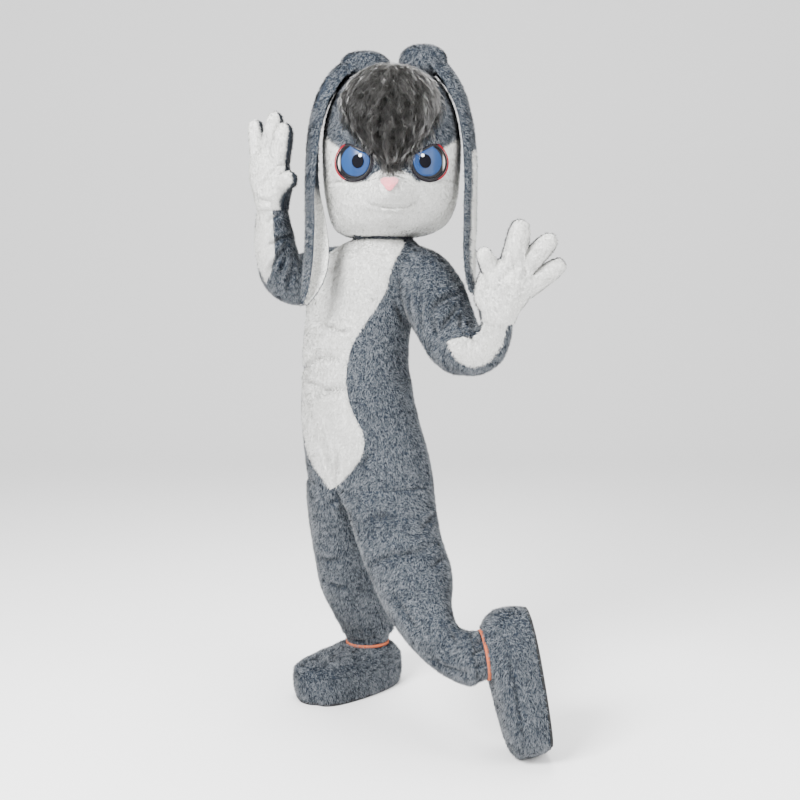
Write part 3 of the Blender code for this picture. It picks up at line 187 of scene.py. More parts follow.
@dataclass
class Folds:
    """All the creases and swellings of the costume, and the soft lumps of its plush."""

    creases: tuple[Crease, ...] = ()
    bulges: tuple[Bulge, ...] = ()
    lump: float = 0.0016

    def height(self, points: np.ndarray) -> np.ndarray:
        """How far the cloth stands out at each place.

        Args:
            points: places in metres, one row each.

        Returns:
            Heights in metres, below nought in a trough.
        """
        large, small = (lattice_noise(points, size, seed) for size, seed in zip(LUMP_SIZES, (3, 5)))
        out = self.lump * large + 0.5 * self.lump * small
        for bulge in self.bulges:
            out += bulge.rise(points)
        for crease, near, away, middle in self.passing(points, CREASE_REACH):
            trough = -np.exp(-away * away)
            ridge = RIDGE_HEIGHT * np.exp(-((away - RIDGE_PLACE) ** 2) * RIDGE_SHARPNESS)
            out[near] += crease.depth * middle * (trough + ridge)
        return out

    def valley(self, points: np.ndarray) -> np.ndarray:
        """How deep in a crease each place lies, from 0 to 1."""
        out = np.zeros(len(points))
        for _, near, away, middle in self.passing(points, VALLEY_REACH):
            out[near] = np.maximum(out[near], middle * np.exp(-1.8 * away * away))
        return out

    def passing(self, points: np.ndarray, widths: float) -> Iterator[tuple[Crease, np.ndarray, ...]]:
        """Finds the creases that pass close to some of the places.

        Args:
            points: places in metres, one row each.
            widths: how many of its widths a crease reaches.

        Yields:
            Each crease, which places are close to it, and its share of those.
        """
        for crease in self.creases:
            line = np.array(crease.line)
            reach = widths * crease.width
            near = np.all((points > line.min(0) - reach) & (points < line.max(0) + reach), axis=1)
            if near.any():
                yield crease, near, *crease.share(points[near])


class Nodes:
    """Short calls for the nodes of one shader tree."""

    def __init__(self, tree: bpy.types.NodeTree) -> None:
        """Starts on a tree."""
        self.tree = tree

    def add(self, kind: str, **settings: object) -> bpy.types.Node:
        """Adds a node.

        Args:
            kind: the node's type name.
            settings: the node's own settings, or its inputs by name with spaces as underscores.

        Returns:
            The node.
        """
        node = self.tree.nodes.new(kind)
        for name, value in settings.items():
            if hasattr(node, name):
                setattr(node, name, value)
            else:
                node.inputs[name.replace("_", " ")].default_value = value
        return node

    def join(self, source: bpy.types.NodeSocket, target: bpy.types.NodeSocket) -> None:
        """Links two sockets."""
        self.tree.links.new(source, target)

    def ramp(self, source: bpy.types.NodeSocket, *stops: tuple[float, Colour]) -> bpy.types.NodeSocket:
        """Turns a value into a colour.

        Args:
            source: the value.
            stops: places from 0 to 1 with their colours.

        Returns:
            The colour socket.
        """
        node = self.tree.nodes.new("ShaderNodeValToRGB")
        band = node.color_ramp.elements
        while len(band) < len(stops):
            band.new(0.5)
        for element, (place, colour) in zip(band, stops):
            element.position = place
            element.color = (*colour, 1.0)
        self.join(source, node.inputs["Fac"])
        return node.outputs["Color"]

    def mix(
        self,
        fac: bpy.types.NodeSocket | float,
        a: bpy.types.NodeSocket | Colour,
        b: bpy.types.NodeSocket | Colour,
        blend: str = "MIX",
    ) -> bpy.types.NodeSocket:
        """Mixes two colours.

        Args:
            fac: how much of the second.
            a: the first colour.
            b: the second colour.
            blend: the way of mixing.

        Returns:
            The mixed colour's socket.
        """
        node = self.tree.nodes.new("ShaderNodeMix")
        node.data_type = "RGBA"
        node.blend_type = blend
        for index, value in ((0, fac), (6, a), (7, b)):
            if isinstance(value, bpy.types.NodeSocket):
                self.join(value, node.inputs[index])
            elif index == 0:
                node.inputs[index].default_value = value
            else:
                node.inputs[index].default_value = (*value, 1.0)
        return node.outputs[2]

    def maths(
        self, way: str, a: bpy.types.NodeSocket | float, b: bpy.types.NodeSocket | float
    ) -> bpy.types.NodeSocket:
        """Sums with two values.

        Args:
            way: the operation.
            a: the first value.
            b: the second value.

        Returns:
            The result's socket.
        """
        node = self.tree.nodes.new("ShaderNodeMath")
        node.operation = way
        for index, value in ((0, a), (1, b)):
            if isinstance(value, bpy.types.NodeSocket):
                self.join(value, node.inputs[index])
            else:
                node.inputs[index].default_value = value
        return node.outputs[0]


def new_group(name: str, inputs: dict[str, str], outputs: dict[str, str]) -> tuple[bpy.types.NodeTree, Nodes]:
    """Starts a shared shader effect.

    Args:
        name: its name.
        inputs: input names with their socket types.
        outputs: output names with their socket types.

    Returns:
        The group and its node calls.
    """
    group = bpy.data.node_groups.new(name, "ShaderNodeTree")
    for label, kind in inputs.items():
        group.interface.new_socket(label, in_out="INPUT", socket_type=kind)
    for label, kind in outputs.items():
        group.interface.new_socket(label, in_out="OUTPUT", socket_type=kind)
    return group, Nodes(group)


FLOAT = "NodeSocketFloat"
COLOUR = "NodeSocketColor"


def tuft_group() -> bpy.types.NodeTree:
    """The colour of a pile's own base, seen between its tufts.

    Returns:
        A group that turns two colours and a tuft size into a mottled colour and a height.
    """
    group, nodes = new_group(
        "tuft_base", {"Root": COLOUR, "Tip": COLOUR, "Tufts": FLOAT}, {"Color": COLOUR, "Height": FLOAT}
    )
    inside = nodes.add("NodeGroupInput")
    outside = nodes.add("NodeGroupOutput")
    place = nodes.add("ShaderNodeTexCoord")
    fine = nodes.add("ShaderNodeTexNoise", Detail=3.0, Roughness=0.65)
    nodes.join(place.outputs["Object"], fine.inputs["Vector"])
    nodes.join(inside.outputs["Tufts"], fine.inputs["Scale"])
    spread = nodes.ramp(fine.outputs["Fac"], (0.38, (0.0, 0.0, 0.0)), (0.66, (1.0, 1.0, 1.0)))
    colour = nodes.mix(spread, inside.outputs["Root"], inside.outputs["Tip"])
    nodes.join(colour, outside.inputs["Color"])
    nodes.join(fine.outputs["Fac"], outside.inputs["Height"])
    return group


def strand_group() -> bpy.types.NodeTree:
    """The colour along a strand, from its dark root to its pale tip, scaled down by the painted shade of the
    creases that it carries.

    Returns:
        A group that reads the strand's own attribute and gives its colour.
    """
    group, nodes = new_group(
        "strand_tone",
        {"Root": COLOUR, "Middle": COLOUR, "Tip": COLOUR, "Second": COLOUR},
        {"Color": COLOUR, "Tone": FLOAT},
    )
    inside = nodes.add("NodeGroupInput")
    outside = nodes.add("NodeGroupOutput")
    pile = nodes.add("ShaderNodeAttribute", attribute_name="pile")
    parts = nodes.add("ShaderNodeSeparateColor")
    nodes.join(pile.outputs["Color"], parts.inputs["Color"])
    along, tone, shade = (parts.outputs[name] for name in ("Red", "Green", "Blue"))
    pale = nodes.maths("MULTIPLY", along, nodes.maths("ADD", tone, 0.15))
    low = nodes.mix(along, inside.outputs["Root"], inside.outputs["Middle"])
    first = nodes.mix(pale, low, inside.outputs["Tip"])
    high = nodes.mix(pile.outputs["Alpha"], inside.outputs["Second"], first)
    # painted shade: the strand's colour is scaled by its shade, which is darkest in creases
    shaded = nodes.add("ShaderNodeVectorMath", operation="SCALE")
    nodes.join(high, shaded.inputs[0])
    nodes.join(shade, shaded.inputs["Scale"])
    nodes.join(shaded.outputs[0], outside.inputs["Color"])
    nodes.join(tone, outside.inputs["Tone"])
    return group


TUFTS = tuft_group()
STRANDS = strand_group()


def new_material(name: str) -> tuple[bpy.types.Material, Nodes, bpy.types.Node]:
    """Starts a material with its own shader.

    Args:
        name: its name.

    Returns:
        The material, its node calls and its Principled shader.
    """
    made = bpy.data.materials.new(name)
    made.use_nodes = True
    return made, Nodes(made.node_tree), made.node_tree.nodes["Principled BSDF"]


def mottle(
    nodes: Nodes,
    shader: bpy.types.Node,
    colours: tuple[Colour, Colour],
    grain: float,
    strength: float,
    relief: float,
) -> bpy.types.Node:
    """Gives a shader the mottled relief of cloth.

    Args:
        nodes: the material's node calls.
        shader: its shader.
        colours: the dark and the light colour.
        grain: how fine the mottling is.
        strength: the strength of the relief.
        relief: its height in metres.

    Returns:
        The node that gives the mottled colour and its height.
    """
    tufts = nodes.add("ShaderNodeGroup", node_tree=TUFTS)
    for label, colour in zip(("Root", "Tip"), colours):
        tufts.inputs[label].default_value = (*colour, 1.0)
    tufts.inputs["Tufts"].default_value = grain
    bump = nodes.add("ShaderNodeBump", Strength=strength, Distance=relief)
    nodes.join(tufts.outputs["Height"], bump.inputs["Height"])
    nodes.join(bump.outputs["Normal"], shader.inputs["Normal"])
    return tufts


@dataclass(frozen=True)
class Plush:
    """A pile fabric: the colours, length and lie of its tufts."""

    name: str
    slot: str
    root: Colour
    middle: Colour
    tip: Colour
    length: float = 0.0100
    width: float = 0.0022
    lean: float = 28.0
    contrast: float = 1.0
    sheen: float = 0.08
    second: Colour = (0.86, 0.86, 0.83)

    def base(self) -> bpy.types.Material:
        """The ground of the fabric, under its tufts.

        Returns:
            The material of the panel itself.
        """
        made, nodes, shader = new_material(f"{self.name}_ground")
        tufts = mottle(nodes, shader, (self.root, self.middle), 190.0, 0.6, 0.003)
        share = nodes.add("ShaderNodeAttribute", attribute_name="second")
        colour = nodes.mix(share.outputs["Fac"], tufts.outputs["Color"], self.second)
        nodes.join(colour, shader.inputs["Base Color"])
        shader.inputs["Roughness"].default_value = 0.95
        shader.inputs["Specular IOR Level"].default_value = 0.1
        return made

    def strands(self) -> bpy.types.Material:
        """The tufts themselves.

        Returns:
            The material of the pile.
        """
        made, nodes, shader = new_material(f"{self.name}_tufts")
        tone = nodes.add("ShaderNodeGroup", node_tree=STRANDS)
        colours = {"Root": self.root, "Middle": self.middle, "Tip": self.tip, "Second": self.second}
        for label, colour in colours.items():
            tone.inputs[label].default_value = (*colour, 1.0)
        nodes.join(tone.outputs["Color"], shader.inputs["Base Color"])
        gloss = nodes.maths("MULTIPLY", tone.outputs["Tone"], 0.2)
        nodes.join(nodes.maths("SUBTRACT", 0.95, gloss), shader.inputs["Roughness"])
        shader.inputs["Specular IOR Level"].default_value = 0.15
        shader.inputs["Sheen Weight"].default_value = self.sheen
        shader.inputs["Sheen Roughness"].default_value = 0.5
        return made


@dataclass(frozen=True)
class Smooth:
    """A finish without a pile: its colours, its gloss and its grain."""

    name: str
    slot: str
    dark: Colour
    light: Colour
    roughness: float
    grain: float
    relief: float
    sheen: float = 0.0

    def base(self) -> bpy.types.Material:
        """Makes the material."""
        made, nodes, shader = new_material(self.name)
        tufts = mottle(nodes, shader, (self.dark, self.light), self.grain, 0.5, self.relief)
        nodes.join(tufts.outputs["Color"], shader.inputs["Base Color"])
        uneven = nodes.maths("MULTIPLY", tufts.outputs["Height"], 0.08)
        nodes.join(nodes.maths("ADD", uneven, self.roughness - 0.04), shader.inputs["Roughness"])
        shader.inputs["Sheen Weight"].default_value = self.sheen
        return made


GREY = Plush(
    "grey_plush",
    "grey_plush",
    root=(0.006, 0.009, 0.014),
    middle=(0.030, 0.040, 0.056),
    tip=(0.30, 0.325, 0.355),
    contrast=1.8,
)
DARK = Plush(
    "dark_plush",
    "dark_plush",
    root=(0.008, 0.010, 0.014),
    middle=(0.026, 0.032, 0.042),
    tip=(0.13, 0.145, 0.17),
)
WHITE = Plush(
    "white_plush", "white_plush", root=(0.48, 0.48, 0.46), middle=(0.80, 0.80, 0.775), tip=(0.94, 0.94, 0.92)
)
FACE = replace(WHITE, name="face_plush", length=0.0075)
PALM = replace(WHITE, name="palm_plush", length=0.0065, second=(0.022, 0.027, 0.035))
EAR_LINING = replace(WHITE, name="ear_plush", length=0.0080, second=(0.050, 0.058, 0.072))
LONG = Plush(
    "long_fur", "shaggy_fur", root=(0.260, 0.250, 0.240), middle=(0.80, 0.78, 0.75), tip=(0.98, 0.97, 0.96)
)
PINK = Smooth(
    "pink_velvet",
    "pink_velvet",
    dark=(0.56, 0.12, 0.15),
    light=(0.80, 0.28, 0.32),
    roughness=0.85,
    grain=420.0,
    relief=0.0008,
    sheen=0.6,
)
ORANGE = Smooth(
    "orange_binding",
    "orange_binding",
    dark=(0.28, 0.045, 0.014),
    light=(0.60, 0.15, 0.05),
    roughness=0.8,
    grain=520.0,
    relief=0.0010,
)
RUBBER = Smooth(
    "black_sole",
    "black_sole",
    dark=(0.004, 0.004, 0.005),
    light=(0.012, 0.012, 0.013),
    roughness=0.9,
    grain=300.0,
    relief=0.0005,
)


@dataclass(frozen=True)
class EyePaint:
    """A painted part of an eye, one colour at its outer corner and another elsewhere."""

    name: str
    slot: str
    rest: Colour
    corner: Colour
    start: float
    roughness: float = 0.38
    coat: float = 0.08
    gloss: float = 0.25

    def material(self, side: str, centre: Vector, radius: float) -> bpy.types.Material:
        """Makes the material for one eye.

        Args:
            side: left or right.
            centre: the middle of the eye.
            radius: its half width.

        Returns:
            The material.
        """
        made, nodes, shader = new_material(f"{self.name}_{side}")
        place = nodes.add("ShaderNodeTexCoord")
        parts = nodes.add("ShaderNodeSeparateXYZ")
        nodes.join(place.outputs["Object"], parts.inputs[0])
        outward = 0.5 / radius if side == "left" else -0.5 / radius
        across = nodes.maths("MULTIPLY", nodes.maths("SUBTRACT", parts.outputs["X"], centre.x), outward)
        share = nodes.maths("ADD", across, 0.5)
        colour = nodes.ramp(share, (self.start, self.rest), (min(self.start + 0.06, 1.0), self.corner))
        grain = nodes.add("ShaderNodeTexNoise", Scale=420.0, Detail=2.0)
        nodes.join(place.outputs["Object"], grain.inputs["Vector"])
        nodes.join(nodes.mix(0.18, colour, grain.outputs["Color"], "SOFT_LIGHT"), shader.inputs["Base Color"])
        shader.inputs["Roughness"].default_value = self.roughness
        shader.inputs["Coat Weight"].default_value = self.coat
        shader.inputs["Coat Roughness"].default_value = 0.15
        shader.inputs["Specular IOR Level"].default_value = self.gloss
        return made


INK = (0.006, 0.006, 0.008)
LIGHT = (0.85, 0.85, 0.82)
CRIMSON = (0.24, 0.008, 0.016)
MATT = {"roughness": 0.85, "coat": 0.0, "gloss": 0.0}
EYE_PAINTS = (
    ("edging", EyePaint("eye_felt", "crimson_felt", (0.012, 0.010, 0.013), CRIMSON, 0.70, **MATT)),
    ("rim", EyePaint("eye_rim", "eye_black", INK, INK, 0.5)),
    ("white", EyePaint("eye_ring", "eye_white", INK, (0.72, 0.72, 0.68), 0.82)),
    ("iris", EyePaint("eye_iris", "eye_blue", (0.006, 0.030, 0.105), (0.008, 0.038, 0.125), 0.5)),
    ("pupil", EyePaint("eye_pupil", "eye_black", INK, INK, 0.5, 0.75, 0.0, 0.0)),
    ("highlight", EyePaint("eye_light", "eye_white", LIGHT, LIGHT, 0.5)),
)


def clear_selection() -> None:
    """Selects nothing."""
    for other in bpy.context.selected_objects:
        other.select_set(False)


def only(obj: bpy.types.Object) -> None:
    """Selects one object and nothing else."""
    clear_selection()
    obj.select_set(True)
    bpy.context.view_layer.objects.active = obj


def numbers(source: object, name: str, width: int, kind: type = np.float64) -> np.ndarray:
    """Reads one attribute of a mesh's elements.

    Args:
        source: the mesh's collection.
        name: the attribute.
        width: how many numbers each element has.
        kind: their type.

    Returns:
        One row for each element.
    """
    out = np.empty(len(source) * width, kind)
    source.foreach_get(name, out)
    return out.reshape(-1, width) if width > 1 else out


class Panel:
    """A cloth panel of the costume, made smooth from its solid's form."""

    def __init__(self, node: str, levels: int, folds: Folds | None) -> None:
        """Copies a solid's form and gives it its curves and folds.

        Args:
            node: the solid's name.
            levels: how finely it is rounded.
            folds: the folds it takes, if any.
        """
        self.node = node
        self.shell = bpy.data.objects.new(f"{node}_cloth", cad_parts[node].data.copy())
        bpy.context.scene.collection.objects.link(self.shell)
        only(self.shell)
        bpy.ops.object.mode_set(mode="EDIT")
        bpy.ops.mesh.select_all(action="SELECT")
        bpy.ops.mesh.remove_doubles(threshold=MERGE)
        flat, square = math.radians(35.0), math.radians(80.0)
        bpy.ops.mesh.tris_convert_to_quads(face_threshold=flat, shape_threshold=square)
        bpy.ops.mesh.select_all(action="DESELECT")
        bpy.ops.object.mode_set(mode="OBJECT")
        self.mark_rims()
        if levels:
            rounded = self.shell.modifiers.new("rounded", "SUBSURF")
            rounded.levels = levels
            rounded.render_levels = levels
            bpy.ops.object.modifier_apply(modifier=rounded.name)
        if folds is not None:
            self.fold(folds)
        self.shell.data.shade_smooth()
        bpy.ops.object.shade_smooth_by_angle(angle=RIM_ANGLE)

    def mark_rims(self) -> None:
        """Keeps the panel's cut edges sharp when it is rounded."""
        mesh = self.shell.data
        mesh.materials.clear()
        normals = [polygon.normal.copy() for polygon in mesh.polygons]
        sides: dict[tuple[int, int], list[int]] = {}
        for polygon in mesh.polygons:
            for key in polygon.edge_keys:
                sides.setdefault(key, []).append(polygon.index)
        crease = mesh.attributes.new("crease_edge", "FLOAT", "EDGE")
        for edge in mesh.edges:
            pair = sides.get(edge.key, [])
            if len(pair) == 2 and normals[pair[0]].angle(normals[pair[1]], 0.0) > RIM_ANGLE:
                crease.data[edge.index].value = 1.0

    def fold(self, folds: Folds) -> None:
        """Moves both faces of the wall together, out to a ridge or in to a trough."""
        mesh = self.shell.data
        places = numbers(mesh.vertices, "co", 3)
        places += unit(HEARTS.away(self.node, places)) * folds.height(places)[:, None]
        mesh.vertices.foreach_set("co", places.ravel())
        mesh.update()

    def finish(self, look: Plush | Smooth) -> None:
        """Gives the panel its material and its place on the costume."""
        self.shell.data.materials.append(material_of(look))
        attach(self.shell, "root")
        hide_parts(self.node)


@dataclass
class Hearts:
    """The lines that run through the middle of each part of the costume."""

    lines: dict[str, tuple[Point, ...]]
    parts: tuple[tuple[str, str], ...]

    def line_of(self, node: str) -> np.ndarray:
        """The line that a panel goes round."""
        for start, line in self.parts:
            if node.startswith(start):
                key = line + node.rsplit("_", 1)[-1] if line.endswith("_") else line
                return np.array(self.lines[key]) - FLOOR_FRAME
        raise KeyError(node)

    def away(self, node: str, places: np.ndarray) -> np.ndarray:
        """From the line to each place.

        Args:
            node: the panel's solid.
            places: places in metres, one row each.

        Returns:
            One arrow for each place.
        """
        line = self.line_of(node)
        best = np.full(len(places), 1e9)
        out = np.zeros_like(places)
        for start, end in zip(line[:-1], line[1:]):
            along = end - start
            t = np.clip((places - start) @ along / (along @ along), 0.0, 1.0)
            arrow = places - (start + t[:, None] * along)
            away = np.linalg.norm(arrow, axis=1)
            nearer = away < best
            best = np.where(nearer, away, best)
            out[nearer] = arrow[nearer]
        return out


# the lines are measured from the floor between the feet, and the costume from between its shoulders
FLOOR_FRAME = np.array([-0.050, 0.0, 1.340])
HEARTS = Hearts(
    {
        "torso": (
            (-0.05, 0, 1.39), (-0.106, 0.002, 1.225), (-0.129, 0, 1.08), (-0.122, 0, 0.92), (-0.09, 0, 0.69),
        ),
        "leg_right": (
            (-0.160, 0.064, 0.70), (-0.160, 0.064, 0.625), (-0.163, 0.084, 0.55), (-0.160, 0.110, 0.46),
            (-0.153, 0.142, 0.37), (-0.138, 0.19, 0.285), (-0.104, 0.250, 0.14),
        ),
        "leg_left": (
            (-0.016, -0.082, 0.70), (-0.016, -0.082, 0.625), (-0.006, -0.110, 0.555), (0.018, -0.144, 0.480),
            (0.056, -0.186, 0.412), (0.094, -0.234, 0.342), (0.121, -0.262, 0.302), (0.151, -0.294, 0.270),
            (0.232, -0.336, 0.250),
        ),
        "sleeve_left": (
            (0.005, -0.030, 1.300), (0.060, -0.090, 1.288), (0.092, -0.128, 1.236), (0.117, -0.162, 1.174),
            (0.142, -0.200, 1.120), (0.174, -0.245, 1.088), (0.206, -0.286, 1.084), (0.231, -0.316, 1.102),
            (0.247, -0.334, 1.132), (0.254, -0.344, 1.165), (0.257, -0.350, 1.193),
        ),
        "sleeve_right": (
            (-0.128, 0.072, 1.306), (-0.190, 0.086, 1.300), (-0.244, 0.086, 1.288), (-0.292, 0.068, 1.278),
            (-0.327, 0.036, 1.283), (-0.346, 0.004, 1.310), (-0.354, -0.022, 1.352), (-0.358, -0.040, 1.398),
            (-0.360, -0.052, 1.440), (-0.361, -0.059, 1.474), (-0.361, -0.063, 1.502),
        ),
        "head": ((-0.022, -0.01, 1.48), (-0.022, -0.01, 1.79)),
        "hand_left": ((0.257, -0.350, 1.193), (0.263, -0.362, 1.254)),
        "hand_right": ((-0.361, -0.063, 1.502), (-0.361, -0.072, 1.565)),
        "foot_right": ((-0.078, 0.280, 0.05), (-0.236, 0.100, 0.05)),
        "foot_left": ((0.301, -0.322, 0.301), (0.340, -0.356, 0.067)),
    },
    (
        ("suit_leg", "leg_"), ("suit_ankle", "leg_"), ("suit_sleeve", "sleeve_"), ("suit_forearm", "sleeve_"),
        ("suit", "torso"), ("glove", "hand_"), ("foot", "foot_"), ("", "head"),
    ),
)

BULGES = (
    Bulge((0.026, -0.2466, 0.1680), (0.058, 0.080, 0.038), 0.0150),
    Bulge((0.026, -0.2300, 0.1080), (0.045, 0.080, 0.026), 0.0060),
)

